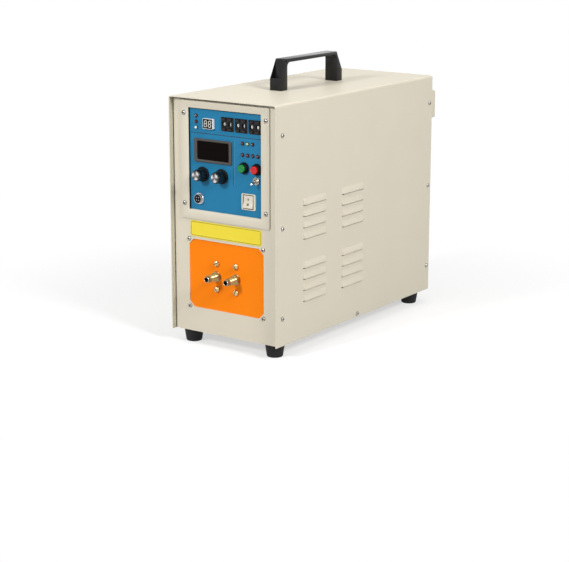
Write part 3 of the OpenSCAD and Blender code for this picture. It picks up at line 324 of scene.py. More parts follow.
def roundedProfile(points, radius, segments=3):
    # Each inner corner of a profile becomes a short curve
    out = [Vector(points[0])]
    for before, corner, after in zip(points, points[1:], points[2:]):
        before, corner, after = Vector(before), Vector(corner), Vector(after)
        # A curve takes just under half of a side at most, so that two never meet
        reach = min(radius, (before - corner).length / 2.01, (after - corner).length / 2.01)
        start = corner + (before - corner).normalized() * reach
        end = corner + (after - corner).normalized() * reach
        for i in range(segments + 1):
            t = i / segments
            out.append(start.lerp(corner, t).lerp(corner.lerp(end, t), t))
    out.append(Vector(points[-1]))
    return [tuple(p) for p in out]


def threadProfile(start, end, radius, pitch, depth):
    points, at = [], start
    while at < end - 1e-9:
        points += [(at, radius - depth), (min(at + pitch / 2, end), radius)]
        at += pitch
    return points + [(end, radius - depth)]


def roundOutline(width, height, radius, steps=6):
    points = []
    for quarter, (sx, sz) in enumerate(((1, 1), (-1, 1), (-1, -1), (1, -1))):
        points += arcPoints(sx * (width / 2 - radius), sz * (height / 2 - radius), radius,
                            [(quarter + i / steps) * 90 for i in range(steps + 1)])
    return points


def facingFront(centre):
    # Turns (a, b, height) into a point: a runs right, b up, and height towards the viewer
    centre = Vector(centre)
    return lambda a, b, height: centre + right * (a * mm) + up * (b * mm) - back * (height * mm)


def prismMesh(outline, low, high, place, bevel=0.0, segments=2):
    # Raises a flat outline of (a, b) points from one height to another
    bm = bmesh.new()
    face = bm.faces.new([bm.verts.new(place(a, b, low)) for a, b in outline])
    raiseFaces(bm, [face], Vector(place(0, 0, high)) - Vector(place(0, 0, low)))
    bmesh.ops.recalc_face_normals(bm, faces=bm.faces)
    bevelEdges(bm, bevel, segments)
    return bm


def loftMesh(lines, place, closed=True):
    # Joins (outline, height) lines of equally many points, each to the next, by strips of faces
    bm = bmesh.new()
    rings = [[bm.verts.new(place(a, b, height)) for a, b in line] for line, height in lines]
    for first, second in zip(rings, rings[1:] + (rings[:1] if closed else [])):
        for i in range(len(first)):
            after = (i + 1) % len(first)
            bm.faces.new((first[i], first[after], second[after], second[i]))
    if not closed:
        bm.faces.new(rings[0])
        bm.faces.new(rings[-1])
    bmesh.ops.recalc_face_normals(bm, faces=bm.faces)
    return bm


def ringMesh(outer, inner, low, high, place, bevel=0.0):
    # A frame between two outlines
    bm = loftMesh(((outer, low), (outer, high), (inner, high), (inner, low)), place)
    bevelEdges(bm, bevel)
    return bm


def hexMesh(centre, axis, low, high, radius, cornerShare=0.06, edgeShare=0.05):
    # A nut with soft corners; the shares are of its radius
    bm = bmesh.new()
    axis = Vector(axis).normalized()
    base = Vector(centre) + axis * (low * mm)
    spoke = (up if abs(axis.z) < aligned else right) * (radius * mm)
    face = bm.faces.new([bm.verts.new(base + Matrix.Rotation(i * math.pi / 3, 3, axis) @ spoke)
                         for i in range(6)])
    raiseFaces(bm, [face], axis * ((high - low) * mm))
    bmesh.ops.recalc_face_normals(bm, faces=bm.faces)

    def alongAxis(edge):
        return abs((edge.verts[0].co - edge.verts[1].co).normalized().dot(axis)) > aligned

    bevelEdges(bm, radius * cornerShare, only=alongAxis)
    bevelEdges(bm, radius * edgeShare, angle=60)
    return bm


def islandsOf(name):
    # The two corners of each loose part of a CAD node
    bm = bmesh.new()
    bm.from_mesh(nodes[name].data)
    bmesh.ops.remove_doubles(bm, verts=bm.verts, dist=near)
    seen, parts = set(), []
    for start in bm.verts:
        if start in seen:
            continue
        stack, group = [start], []
        seen.add(start)
        while stack:
            vert = stack.pop()
            group.append(vert.co.copy())
            for edge in vert.link_edges:
                other = edge.other_vert(vert)
                if other not in seen:
                    seen.add(other)
                    stack.append(other)
        parts.append((Vector([min(p[k] for p in group) for k in range(3)]),
                      Vector([max(p[k] for p in group) for k in range(3)])))
    bm.free()
    return parts


def sharpen(bm, angle):
    for face in bm.faces:
        face.smooth = True
    for edge in bm.edges:
        edge.smooth = not (len(edge.link_faces) != 2 or edge.calc_face_angle(0) > math.radians(angle))


def finishPiece(name, bm, finishNames, replaced=(), body="cabinet", angle=34):
    sharpen(bm, angle)
    mesh = bpy.data.meshes.new(name)
    bm.to_mesh(mesh)
    bm.free()
    piece = bpy.data.objects.new(name, mesh)
    bpy.context.scene.collection.objects.link(piece)
    for finish in finishNames:
        mesh.materials.append(materials[finish])
    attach(piece, body)
    if replaced:
        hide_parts(*replaced)
    return piece


# Camera, fitted to the cabinet's corners in the photograph; distance and target are in mm

camera = {"azimuth": 35.31, "elevation": 14.12, "distance": 3038.1, "target": (-48.744, -6, 67.159),
          "focal": 1632.13, "imageWidth": 569, "sensor": 36, "clipEnd": 30}


def placeCamera():
    turn, tilt = math.radians(camera["azimuth"]), math.radians(camera["elevation"])
    target = Vector(camera["target"]) * mm
    away = Vector((math.sin(turn) * math.cos(tilt), -math.cos(turn) * math.cos(tilt), math.sin(tilt)))
    lens = bpy.data.cameras.new("viewCamera")
    lens.sensor_width = camera["sensor"]
    lens.lens = camera["focal"] / camera["imageWidth"] * lens.sensor_width
    lens.clip_end = camera["clipEnd"]
    viewer = bpy.data.objects.new("viewCamera", lens)
    viewer.location = target + camera["distance"] * mm * away
    viewer.rotation_euler = (-away).to_track_quat("-Z", "Y").to_euler()
    bpy.context.scene.collection.objects.link(viewer)
    bpy.context.scene.camera = viewer


# Floor and soft studio light; far from the object the floor is plain white to the viewer.
# Each lamp has a place, a size and a power, in metres and watts

studio = {"floorSize": 14, "floorColor": "FFFFFF", "floorBounce": "B8B8B8", "floorRough": 0.9,
          "floorSpecular": 0.1, "plainNear": 0.55, "plainFrom": 0.35, "plainTo": 0.8,
          "worldStrength": 0.28, "aim": (0, 0, 0.2),
          "lamps": {"keyLamp": ((-0.66, -3.11, 1.94), 0.6, 70),
                    "sideLamp": ((2.72, -0.88, 2.1), 0.8, 78),
                    "topLamp": ((0.1, 0.4, 3.4), 2.2, 32)}}
white = (1, 1, 1, 1)


def seenRays(tree):
    # 1 where the viewer, a reflection or a clear pane looks, and 0 for the light on the object
    rays = addNode(tree, "ShaderNodeLightPath").outputs
    seen = addNode(tree, "ShaderNodeMath", {"operation": "MAXIMUM"},
                   {0: rays["Is Camera Ray"], 1: rays["Is Glossy Ray"]}).outputs[0]
    return addNode(tree, "ShaderNodeMath", {"operation": "MAXIMUM"},
                   {0: seen, 1: rays["Is Transmission Ray"]}).outputs[0]


def makeFloor():
    grid = bmesh.new()
    bmesh.ops.create_grid(grid, x_segments=1, y_segments=1, size=studio["floorSize"] / 2)
    mesh = bpy.data.meshes.new("studioFloor")
    grid.to_mesh(mesh)
    grid.free()
    floor = bpy.data.objects.new("studioFloor", mesh)
    bpy.context.scene.collection.objects.link(floor)
    material = bpy.data.materials.new("studioFloor")
    material.use_nodes = True
    tree = material.node_tree
    seen = seenRays(tree)
    shader = tree.nodes["Principled BSDF"]
    shader.inputs["Roughness"].default_value = studio["floorRough"]
    shader.inputs["Specular IOR Level"].default_value = studio["floorSpecular"]
    color = addNode(tree, "ShaderNodeMix", {
        "data_type": "RGBA", 6: hexColor(studio["floorBounce"]),
        7: hexColor(studio["floorColor"])}, {0: seen})
    tree.links.new(color.outputs[2], shader.inputs["Base Color"])
    place = addNode(tree, "ShaderNodeTexCoord")
    reach = addNode(tree, "ShaderNodeVectorMath", {"operation": "LENGTH"},
                    {0: place.outputs["Object"]})
    share = addNode(tree, "ShaderNodeMapRange", {
        "interpolation_type": "SMOOTHSTEP", "From Min": studio["plainFrom"],
        "From Max": studio["plainTo"], "To Min": studio["plainNear"]},
        {"Value": reach.outputs["Value"]})
    mix = addNode(tree, "ShaderNodeMath", {"operation": "MULTIPLY"},
                  {0: share.outputs["Result"], 1: seen})
    plain = addNode(tree, "ShaderNodeEmission", {"Color": white, "Strength": 1.0})
    blend = addNode(tree, "ShaderNodeMixShader", None,
                    {0: mix.outputs[0], 1: shader.outputs[0], 2: plain.outputs[0]})
    tree.links.new(blend.outputs[0], tree.nodes["Material Output"].inputs["Surface"])
    mesh.materials.append(material)


def makeLight():
    world = bpy.data.worlds.new("studioWorld")
    world.use_nodes = True
    tree = world.node_tree
    level = addNode(tree, "ShaderNodeMapRange", {"To Min": studio["worldStrength"], "To Max": 1.0},
                    {"Value": seenRays(tree)})
    tree.nodes["Background"].inputs["Color"].default_value = white
    tree.links.new(level.outputs["Result"], tree.nodes["Background"].inputs["Strength"])
    bpy.context.scene.world = world
    for name, (place, size, power) in studio["lamps"].items():
        lamp = bpy.data.lights.new(name, "AREA")
        lamp.size = size
        lamp.energy = power
        holder = bpy.data.objects.new(name, lamp)
        holder.location = place
        aim = Vector(studio["aim"]) - Vector(place)
        holder.rotation_euler = aim.to_track_quat("-Z", "Y").to_euler()
        bpy.context.scene.collection.objects.link(holder)


placeCamera()
makeFloor()
makeLight()
bpy.context.scene.view_settings.view_transform = "Standard"
print("camera and studio ready")


# The material of every CAD node; those that a new piece replaces keep one too

wheels = range(1, 7)
dressed = {
    "powderCoatBeige": ["base_pan", "front_panel", "rear_panel", "cover_shell", "control_bezel",
                        "rear_hood"],
    "printedOverlayBlue": ["control_plate"],
    "laminateOrange": ["output_board"],
    "vinylYellow": ["label_plate"],
    "galvanisedSheet": ["equipment_shelf", "potentiometers"],
    "milledAluminium": ["cold_plate"],
    "ferriteGrey": ["transformer_core"],
    "copperTube": ["transformer_winding"],
    "canBlue": ["capacitor_bank"],
    "boardGreen": ["control_board"],
    "hosePale": ["water_hoses"],
    "absBlack": ["power_modules", "terminal_block", "cable_gland", "preset_bodies", "button_rings"],
    "absBlackSatin": ["carry_handle"],
    "absBlackGloss": ["left_knob", "right_knob"] + [f"digit_wheel_{n}" for n in wheels],
    "absRedBrown": [f"{sign}_key_{n}" for sign in ("plus", "minus") for n in wheels],
    "absGreyBrown": ["meter_case"],
    "absWhite": ["timer_display"],
    "nylonIvory": ["rocker_frame", "power_rocker"],
    "smokedAcrylic": ["meter_window"],
    "acrylicGreen": ["start_button"],
    "acrylicRed": ["stop_button"],
    "lensRed": ["indicator_lamps"],
    "rubberBlack": ["rubber_feet"],
    "zincSteel": ["case_screws", "mounting_screws"],
    "chromePlate": ["toggle_body", "toggle_lever", "foot_switch_socket"],
    "brassTurned": ["output_fittings", "brass_screws", "water_nozzles"],
}
for finish, names in dressed.items():
    for name in names:
        nodes[name].data.materials.clear()
        nodes[name].data.materials.append(materials[finish])
print("CAD nodes dressed")


# Cover: one sheet folded over the sides and top, with the louvres pressed out of its sides.
# The shares are of a louvre's end blend and of its height, slack is a share of its size, and
# flat is how square to an axis a face has to be

cover = {"sheet": 1.5, "bend": 4, "bendSteps": 8, "louvreWidth": 70, "louvreHeight": 11,
         "louvreOut": 3, "rows": 4, "rowPitch": 19.5, "groupRise": 110, "columnPitch": 119.5,
         "fromFront": 80, "lowest": 66, "endBlend": 3.5, "slit": 1.6, "swell": 1.5,
         "slack": 0.001, "flat": 0.9999,
         "endShares": (0, 0.2, 0.4, 0.6, 0.8, 1), "riseShares": (0, 0.1, 0.22, 0.38, 0.56, 0.77, 1)}


def bendAngles(start):
    # A quarter turn clockwise from start
    return [start - i * 90 / cover["bendSteps"] for i in range(cover["bendSteps"] + 1)]


def louvrePlaces(low):
    # Middle of each louvre along the side, and the height of its foot, in mm
    for column in (0, 1):
        y = low.y / mm + cover["fromFront"] + cover["louvreWidth"] / 2 + column * cover["columnPitch"]
        for group in (0, 1):
            for row in range(cover["rows"]):
                yield y, (low.z / mm + cover["lowest"] + group * cover["groupRise"]
                          + row * cover["rowPitch"])


def pressLouvres(bm, places, side):
    half, tall, reach = cover["louvreWidth"] / 2, cover["louvreHeight"], cover["endBlend"]
    slack = cover["slack"]
    ends = [half - reach * share for share in cover["endShares"]]
    rises = [-cover["slit"]] + [tall * share for share in cover["riseShares"]]
    for y in sorted({y for y, z in places}):
        for end in ends + [-e for e in ends]:
            cutAcross(bm, (0, (y + end) * mm, 0), back)
    for z in sorted({z for y, z in places}):
        for rise in rises:
            cutAcross(bm, (0, 0, (z + rise) * mm), up)

    def onLouvre(point, start, end):
        # Share of the half width and of the height at a point whose rise lies between two shares
        for y, z in places:
            along, rise = (point.y / mm - y) / half, (point.z / mm - z) / tall
            if abs(point.x) > side - 10 * near and abs(along) < 1 - slack and start < rise < end:
                return abs(along), max(rise, 0)
        return None

    slits = [f for f in bm.faces if onLouvre(f.calc_center_median(), -cover["slit"] / tall, 0)]
    bmesh.ops.delete(bm, geom=slits, context="FACES")
    for vert in bm.verts:
        spot = onLouvre(vert.co, -slack, 1 - slack)
        if spot:
            blend = min((1 - spot[0]) * half / reach, 1)
            swell = blend * blend * (3 - 2 * blend) * (1 - spot[1] ** cover["swell"])
            vert.co.x += math.copysign(swell * cover["louvreOut"] * mm, vert.co.x)


def coverPiece():
    low, high = lowOf("cover_shell"), highOf("cover_shell")
    side, foot, top, bend = high.x / mm - cover["louvreOut"], low.z / mm, high.z / mm, cover["bend"]
    outline = [(-side, foot)] + arcPoints(bend - side, top - bend, bend, bendAngles(180))
    outline += arcPoints(side - bend, top - bend, bend, bendAngles(90)) + [(side, foot)]
    bm = bmesh.new()
    verts = [bm.verts.new((x * mm, low.y, z * mm)) for x, z in outline]
    edges = [bm.edges.new(pair) for pair in zip(verts, verts[1:])]
    made = bmesh.ops.extrude_edge_only(bm, edges=edges)
    bmesh.ops.translate(bm, vec=back * (high.y - low.y),
                        verts=[g for g in made["geom"] if isinstance(g, bmesh.types.BMVert)])
    pressLouvres(bm, list(louvrePlaces(low)), side * mm)
    bmesh.ops.recalc_face_normals(bm, faces=bm.faces)
    if sum(f.normal.z * f.calc_area() for f in bm.faces) < 0:
        bmesh.ops.reverse_faces(bm, faces=bm.faces)
    outside = {tuple(round(c, 6) for c in f.calc_center_median()) for f in bm.faces}
    bmesh.ops.solidify(bm, geom=bm.faces[:], thickness=cover["sheet"] * mm)
    for face in bm.faces:
        # Faces of the inner skin look at the middle of the cabinet
        centre = face.calc_center_median()
        inward = face.normal.dot(Vector((centre.x, 0, centre.z - low.z))) < 0
        if inward and abs(face.normal.y) < 0.5 and tuple(round(c, 6) for c in centre) not in outside:
            face.material_index = 1
    sheet = finishPiece("coverSheet", bm, ["powderCoatBeige", "powderCoatInner"],
                        ["cover_shell"], angle=40)
    for face in sheet.data.polygons:
        # Flat faces are left flat, so that the swell of a louvre doesn't shade them
        face.use_smooth = max(abs(n) for n in face.normal) < cover["flat"]


# Dark strip along the joint between the front panel and the cover: painted shade under the cover's edge

shadeStrip = {"tall": 2.6, "wide": 0.7, "thick": 0.8, "overlap": 0.1, "fromFoot": 1}


def sealPiece():
    low, high = lowOf("front_panel"), highOf("front_panel")
    front, rear = low.y - shadeStrip["thick"] * mm, low.y + shadeStrip["overlap"] * mm
    wide, under = shadeStrip["wide"] * mm, high.z - shadeStrip["tall"] * mm
    bm = blockMesh((low.x, front, under), (high.x, rear, high.z))
    for x0, x1 in ((low.x, low.x + wide), (high.x - wide, high.x)):
        joinMeshes(bm, blockMesh((x0, front, low.z + shadeStrip["fromFoot"] * mm), (x1, rear, under)))
    # The strip is painted shade: the dark line under the cover's front edge
    finishPiece("coverShadeStrip", bm, ["paintedShadeFoam"])


coverPiece()
sealPiece()


# Raised frame round the control window, on a dark gasket, with a dark ring behind its window; both dark
# pieces are painted shade, the shadow lines round the frame and inside the window's edges

frameLook = {"cornerRadius": 3.0, "windowRadius": 0.8, "bevel": 0.35, "windowWidth": 153,
             "windowHeight": 176, "topMargin": 12, "shadeGasket": 1.0, "shadeGasketInset": 0.5,
             "shadeGasketLip": 0.7, "overlap": 0.1, "shadeStripInset": 13}
plateFace = lowOf("control_plate").y


def frameRing(inset, lip, start, end, bevel):
    size = sizeOf("control_bezel")
    tall = frameLook["windowHeight"]
    lift = size.z / 2 - frameLook["topMargin"] - tall / 2
    outer = roundOutline(size.x - 2 * inset, size.z - 2 * inset, frameLook["cornerRadius"])
    inner = [(a + lip, b + lift - lip)
             for a, b in roundOutline(frameLook["windowWidth"], tall, frameLook["windowRadius"])]
    centre = Vector((0, highOf("control_bezel").y, middleOf("control_bezel").z))
    return ringMesh(outer, inner, start, end, facingFront(centre), bevel)


def framePieces():
    shadeGasket, lip = frameLook["shadeGasket"], frameLook["shadeGasketLip"]
    behind = (plateFace - highOf("control_bezel").y) / mm
    finishPiece("controlFrame", frameRing(0, 0, shadeGasket, sizeOf("control_bezel").y,
                                          frameLook["bevel"]),
                ["powderCoatBeige"], ["control_bezel"])
    # Dark gasket under the frame and dark ring in the window's walls: painted shade
    finishPiece("frameShadeGasket", frameRing(frameLook["shadeGasketInset"], lip, 0,
                                         shadeGasket + frameLook["overlap"], 0),
                ["paintedShadeFoam"])
    finishPiece("windowShadeStrip", frameRing(frameLook["shadeStripInset"], lip, -behind, 0, 0), ["paintedShadeFoam"])


framePieces()


# Lines that divide the control plate: a printed dark stroke with a pale one beside it.
# Across is x from, x to and z; down is x, z from and z to

plateLines = {"rise": 0.05, "sink": 0.2, "dark": 1.2, "pale": 0.5, "gap": 0.5,
              "across": (-73.5, 76.4, 375.5), "down": (16.8, 293.3, 370.3)}


def lineMesh(x0, x1, z0, z1):
    return blockMesh((x0 * mm, plateFace - plateLines["rise"] * mm, z0 * mm),
                     (x1 * mm, plateFace + plateLines["sink"] * mm, z1 * mm))


def linePieces():
    fromX, toX, level = plateLines["across"]
    x, fromZ, toZ = plateLines["down"]
    half = plateLines["dark"] / 2
    dark = lineMesh(fromX, toX, level - half, level + half)
    joinMeshes(dark, lineMesh(x - half, x + half, fromZ, toZ))
    finishPiece("plateLinesDark", dark, ["printedInk"])
    start = x + half + plateLines["gap"]
    pale = lineMesh(start, start + plateLines["pale"], fromZ, toZ)
    finishPiece("plateLinesPale", pale, ["paleStroke"])


linePieces()


# Label plate: bare yellow film with a thin dark line near its edge

label = {"corner": 4, "margin": 1.6, "line": 0.7, "bevel": 0.2}


def labelPiece():
    size = sizeOf("label_plate")
    bm = prismMesh(roundOutline(size.x, size.z, label["corner"]), 0, size.y,
                   facingFront((0, highOf("label_plate").y, middleOf("label_plate").z)),
                   label["bevel"], segments=1)
    for finish, width in ((0, label["margin"]), (1, label["line"])):
        # The front is the one face with many corners
        face = [f for f in bm.faces if f.normal.y < -aligned and len(f.verts) > 8]
        made = bmesh.ops.inset_region(bm, faces=face, thickness=width * mm)
        for strip in made["faces"]:
            strip.material_index = finish
    finishPiece("labelPlate", bm, ["vinylYellow", "vinylBlack"], ["label_plate"])


labelPiece()
print("cabinet and plates made")


# Large display: moulded frame with a sloping inner rim, and a tinted window

display = {"corner": 2.6, "windowCorner": 1.0, "slopeCorner": 2.0, "bevel": 0.7, "rimX": 6.5,
           "rimZ": 4.4, "slope": 1.6, "slopeFoot": 1.2, "proud": 3, "caseInset": 2.5,
           "caseRound": 0.5, "overlap": 0.2, "paneRound": 0.2}


def displayFrame():
    low, high, size = lowOf("meter_case"), highOf("meter_case"), sizeOf("meter_case")
    plate = low.y + display["proud"] * mm
    rimX, rimZ, slope, proud = (display[k] for k in ("rimX", "rimZ", "slope", "proud"))
    outer = roundOutline(size.x, size.z, display["corner"])
    inner = roundOutline(size.x - 2 * rimX, size.z - 2 * rimZ, display["windowCorner"])
    wide = roundOutline(size.x - 2 * (rimX - slope), size.z - 2 * (rimZ - slope),
                        display["slopeCorner"])
    bm = loftMesh(((outer, 0), (outer, proud), (wide, proud), (inner, display["slopeFoot"]),
                   (inner, 0)), facingFront(middleOf("meter_case", plate)))
    bevelEdges(bm, display["bevel"], segments=3, angle=24,
               only=lambda e: all(v.co.y < low.y + 100 * near for v in e.verts))
    inset = Vector((display["caseInset"], 0, display["caseInset"])) * mm
    joinMeshes(bm, blockMesh(Vector((low.x, plate - display["overlap"] * mm, low.z)) + inset,
                             high - inset, display["caseRound"]))
    finishPiece("displayFrame", bm, ["absGreyBrown"], ["meter_case"])


def displayWindow():
    size = sizeOf("meter_window")
    pane = prismMesh(roundOutline(size.x, size.z, display["windowCorner"]), 0, size.y,
                     facingFront(middleOf("meter_window", highOf("meter_window").y)),
                     display["paneRound"], segments=1)
    finishPiece("displayWindow", pane, ["smokedAcrylic"], ["meter_window"])


displayFrame()
displayWindow()


# Timer display: white housing, black face and two digits of seven unlit bars

timer = {"corner": 1.2, "faceCorner": 0.4, "rim": 0.6, "bevel": 0.2, "caseInset": 1,
         "caseRound": 0.4, "overlap": 0.2, "faceSink": 0.15, "faceRound": 0.1, "digitWidth": 6.4,
         "digitHeight": 11.6, "bar": 1.25, "gap": 0.2, "spread": 4.4, "slant": 0.09, "rise": 0.1}


def barOutline(length, width):
    half, tip = length / 2, width / 2
    return [(-half, 0), (-half + tip, -tip), (half - tip, -tip), (half, 0), (half - tip, tip),
            (-half + tip, tip)]


def digitBars():
    wide, tall, bar, gap = (timer[k] for k in ("digitWidth", "digitHeight", "bar", "gap"))
    for level in (-1, 0, 1):
        yield [(a, b + level * (tall - bar) / 2) for a, b in barOutline(wide - bar - 2 * gap, bar)]
    for side in (-1, 1):
        for half in (-1, 1):
            yield [(b + side * (wide - bar) / 2, a + half * (tall - bar) / 4)
                   for a, b in barOutline(tall / 2 - bar / 2 - 2 * gap, bar)]


def timerPieces():
    low, high, size = lowOf("timer_display"), highOf("timer_display"), sizeOf("timer_display")
    rim, inset = timer["rim"], timer["caseInset"] * mm
    bm = ringMesh(roundOutline(size.x, size.z, timer["corner"]),
                  roundOutline(size.x - 2 * rim, size.z - 2 * rim, timer["faceCorner"]), 0,
                  (plateFace - low.y) / mm, facingFront(middleOf("timer_display", plateFace)),
                  timer["bevel"])
    joinMeshes(bm, blockMesh((low.x + inset, plateFace - timer["overlap"] * mm, low.z + inset),
                             (high.x - inset, high.y, high.z - inset), timer["caseRound"]))
    finishPiece("timerHousing", bm, ["absWhite"], ["timer_display"])
    front = low.y + timer["faceSink"] * mm
    face = blockMesh((low.x + rim * mm, front, low.z + rim * mm),
                     (high.x - rim * mm, plateFace, high.z - rim * mm), timer["faceRound"], segments=1)
    finishPiece("timerFace", face, ["smokedAcrylic"])
    bars = bmesh.new()
    for side in (-1, 1):
        for outline in digitBars():
            slanted = [(a + b * timer["slant"] + side * timer["spread"], b) for a, b in outline]
            joinMeshes(bars, prismMesh(slanted, -timer["rise"], timer["rise"],
                                       facingFront(middleOf("timer_display", front))))
    finishPiece("timerDigits", bars, ["digitGrey"])


timerPieces()
print("displays made")


# Preset switches: body with two digit windows and four keys, digit drums with numbers

preset = {"pitch": 28.5, "width": 25.4, "height": 23.6, "column": 6.35, "viewWidth": 7,
          "viewHeight": 6.4, "keyWidth": 8.0, "keyHeight": 4.5, "keyMiddle": 8.45, "corner": 2.2,
          "bevel": 0.35, "plateDepth": 2.6, "wallInset": 0.6, "wall": 1, "middleWall": 3,
          "hub": 1.25, "drumRound": 0.4, "shown": (0, 1, 0, 1, 0, 0), "digitRise": 0.04,
          "digitDepth": 0.06, "digitSize": 7.2, "digitBold": 0.22, "slices": 5, "slicePitch": 0.5,
          "keyRound": 0.5, "signLong": 1.3, "signThick": 0.25, "signRise": 0.12, "signSink": 0.3}


def holedPlate(outline, holes, centre, front, depth, bevel):
    # A plate seen from the front, with holes of (x from, x to, z from, z to)
    bm = bmesh.new()
    face = bm.faces.new([bm.verts.new((centre.x + a * mm, front, centre.z + b * mm))
                         for a, b in outline])
    if face.normal.y > 0:
        face.normal_flip()
    for x0, x1, z0, z1 in holes:
        for x in (x0, x1):
            cutAcross(bm, centre + right * (x * mm), right)
        for z in (z0, z1):
            cutAcross(bm, centre + up * (z * mm), up)
    gone = []
    for face in bm.faces:
        spot = (face.calc_center_median() - centre) / mm
        if any(x0 < spot.x < x1 and z0 < spot.z < z1 for x0, x1, z0, z1 in holes):
            gone.append(face)
    bmesh.ops.delete(bm, geom=gone, context="FACES")
    raiseFaces(bm, bm.faces[:], back * depth * mm)
    bmesh.ops.recalc_face_normals(bm, faces=bm.faces)
    bevelEdges(bm, bevel, only=lambda e: all(v.co.y < front + near for v in e.verts))
    return bm


def presetHoles():
    halfView, halfSight = preset["viewWidth"] / 2, preset["viewHeight"] / 2
    halfKey, halfRise = preset["keyWidth"] / 2, preset["keyHeight"] / 2
    for side in (-1, 1):
        x = side * preset["column"]
        yield x - halfView, x + halfView, -halfSight, halfSight
        for z in (-preset["keyMiddle"], preset["keyMiddle"]):
            yield x - halfKey, x + halfKey, z - halfRise, z + halfRise


def presetBodies():
    low, high = lowOf("preset_bodies"), highOf("preset_bodies")
    halfWide, halfTall, cut = preset["width"] / 2, preset["height"] / 2, preset["corner"]
    outline = [(halfWide, halfTall), (-halfWide, halfTall), (-halfWide, -halfTall + cut),
               (-halfWide + cut, -halfTall), (halfWide, -halfTall)]
    halfX, halfZ = (halfWide - preset["wallInset"]) * mm, (halfTall - preset["wallInset"]) * mm
    wall, middle = preset["wall"] * mm, preset["middleWall"] / 2 * mm
    inZ = halfZ - wall
    walls = [(-halfX, halfX, -halfZ, -inZ), (-halfX, halfX, inZ, halfZ),
             (-halfX, wall - halfX, -inZ, inZ), (-middle, middle, -inZ, inZ),
             (halfX - wall, halfX, -inZ, inZ)]
    bm = bmesh.new()
    for i in (-1, 0, 1):
        centre = middleOf("preset_bodies", 0) + right * i * preset["pitch"] * mm
        joinMeshes(bm, holedPlate(outline, list(presetHoles()), centre, low.y,
                                  preset["plateDepth"], preset["bevel"]))
        for x0, x1, z0, z1 in walls:
            joinMeshes(bm, blockMesh((centre.x + x0, plateFace, centre.z + z0),
                                     (centre.x + x1, high.y, centre.z + z1)))
        joinMeshes(bm, blockMesh((centre.x - halfX, high.y - wall, centre.z - halfZ),
                                 (centre.x + halfX, high.y, centre.z + halfZ)))
    finishPiece("presetBodies", bm, ["absBlack"], ["preset_bodies"])


def digitMesh(text):
    # The outline of one number as a flat mesh, centred on the origin
    curve = bpy.data.curves.new("digit", "FONT")
    curve.body = text
    curve.size = preset["digitSize"] * mm
    curve.offset = preset["digitBold"] * mm
    curve.align_x = curve.align_y = "CENTER"
    holder = bpy.data.objects.new("digit", curve)
    bpy.context.scene.collection.objects.link(holder)
    bpy.context.view_layer.update()
    flat = bpy.data.meshes.new_from_object(holder.evaluated_get(
        bpy.context.evaluated_depsgraph_get()))
    bpy.data.objects.remove(holder)
    bpy.data.curves.remove(curve)
    bm = bmesh.new()
    bm.from_mesh(flat)
    bpy.data.meshes.remove(flat)
    bmesh.ops.remove_doubles(bm, verts=bm.verts, dist=touching)
    lows = [min(v.co[k] for v in bm.verts) for k in (0, 1)]
    highs = [max(v.co[k] for v in bm.verts) for k in (0, 1)]
    bmesh.ops.translate(bm, vec=(-(lows[0] + highs[0]) / 2, -(lows[1] + highs[1]) / 2, 0),
                        verts=bm.verts)
    return bm


def drumPiece(number):
    name = f"digit_wheel_{number}"
    centre, size = middleOf(name), sizeOf(name)
    half, radius, hub = size.x / 2, size.z / 2, preset["hub"]
    bm = turnedMesh(roundedProfile([(-half, hub), (-half, radius), (half, radius), (half, hub)],
                                   preset["drumRound"]), centre, right, steps=60)
    joinMeshes(bm, turnedMesh([(half, hub), (-half, hub)], centre, right, steps=24), 0)
    surface, depth = (radius + preset["digitRise"]) * mm, preset["digitDepth"] * mm
    for digit in range(10):
        # Each number is sliced across, so that it bends round the drum
        flat = digitMesh(str(digit))
        raiseFaces(flat, flat.faces[:], up * depth)
        for k in range(-preset["slices"], preset["slices"] + 1):
            cutAcross(flat, (0, k * preset["slicePitch"] * mm, 0), back)
        bmesh.ops.recalc_face_normals(flat, faces=flat.faces)
        turnBy = (digit - preset["shown"][number - 1]) * 2 * math.pi / 10
        for vert in flat.verts:
            angle = vert.co.y / surface + turnBy
            reach = surface - depth + vert.co.z
            vert.co = centre + Vector((vert.co.x, -reach * math.cos(angle), reach * math.sin(angle)))
        joinMeshes(bm, flat, 1)
    finishPiece(f"digitDrum{number}", bm, ["absBlackGloss", "digitWhite"], [name],
                body=name)


def keyPiece(sign, number):
    name = f"{sign}_key_{number}"
    low, centre = lowOf(name), middleOf(name)
    long, thick = preset["signLong"], preset["signThick"]
    bm = blockMesh(low, highOf(name), preset["keyRound"], segments=3)
    for wide, tall in [(long, thick)] + ([(thick, long)] if sign == "plus" else []):
        half = Vector((wide, 0, tall)) * mm
        start, end = low.y - preset["signRise"] * mm, low.y + preset["signSink"] * mm
        joinMeshes(bm, blockMesh(Vector((centre.x, start, centre.z)) - half,
                                 Vector((centre.x, end, centre.z)) + half), 1)
    finishPiece(f"{sign}Key{number}", bm, ["absRedBrown", "absBlackGloss"], [name],
                body=name)


presetBodies()
for number in wheels:
    drumPiece(number)
    keyPiece("plus", number)
    keyPiece("minus", number)
print("preset switches made")


# Indicator lamps: epoxy domes in small black holders. Their lenses are told down the left
# column, then along the two rows

lamps = {"radius": 2.5, "shoulder": 1.0, "sink": 2, "domeAngles": (75, 60, 45, 30, 15),
         "holderRadius": 3.4, "holderHeight": 1.1, "holderSink": 0.2, "holderRound": 0.25,
         "slack": 0.05, "lenses": ("Red", "Red", "Clear", "Red", "Green") + 5 * ("Red",)}


def lampPlaces():
    # Lens and middle of each lamp, where the CAD node has it
    middles = [(low + high) / 2 for low, high in islandsOf("indicator_lamps")]
    middles.sort(key=lambda spot: (spot.x > 0, -round(spot.z, 4), spot.x))
    return zip(lamps["lenses"], middles)


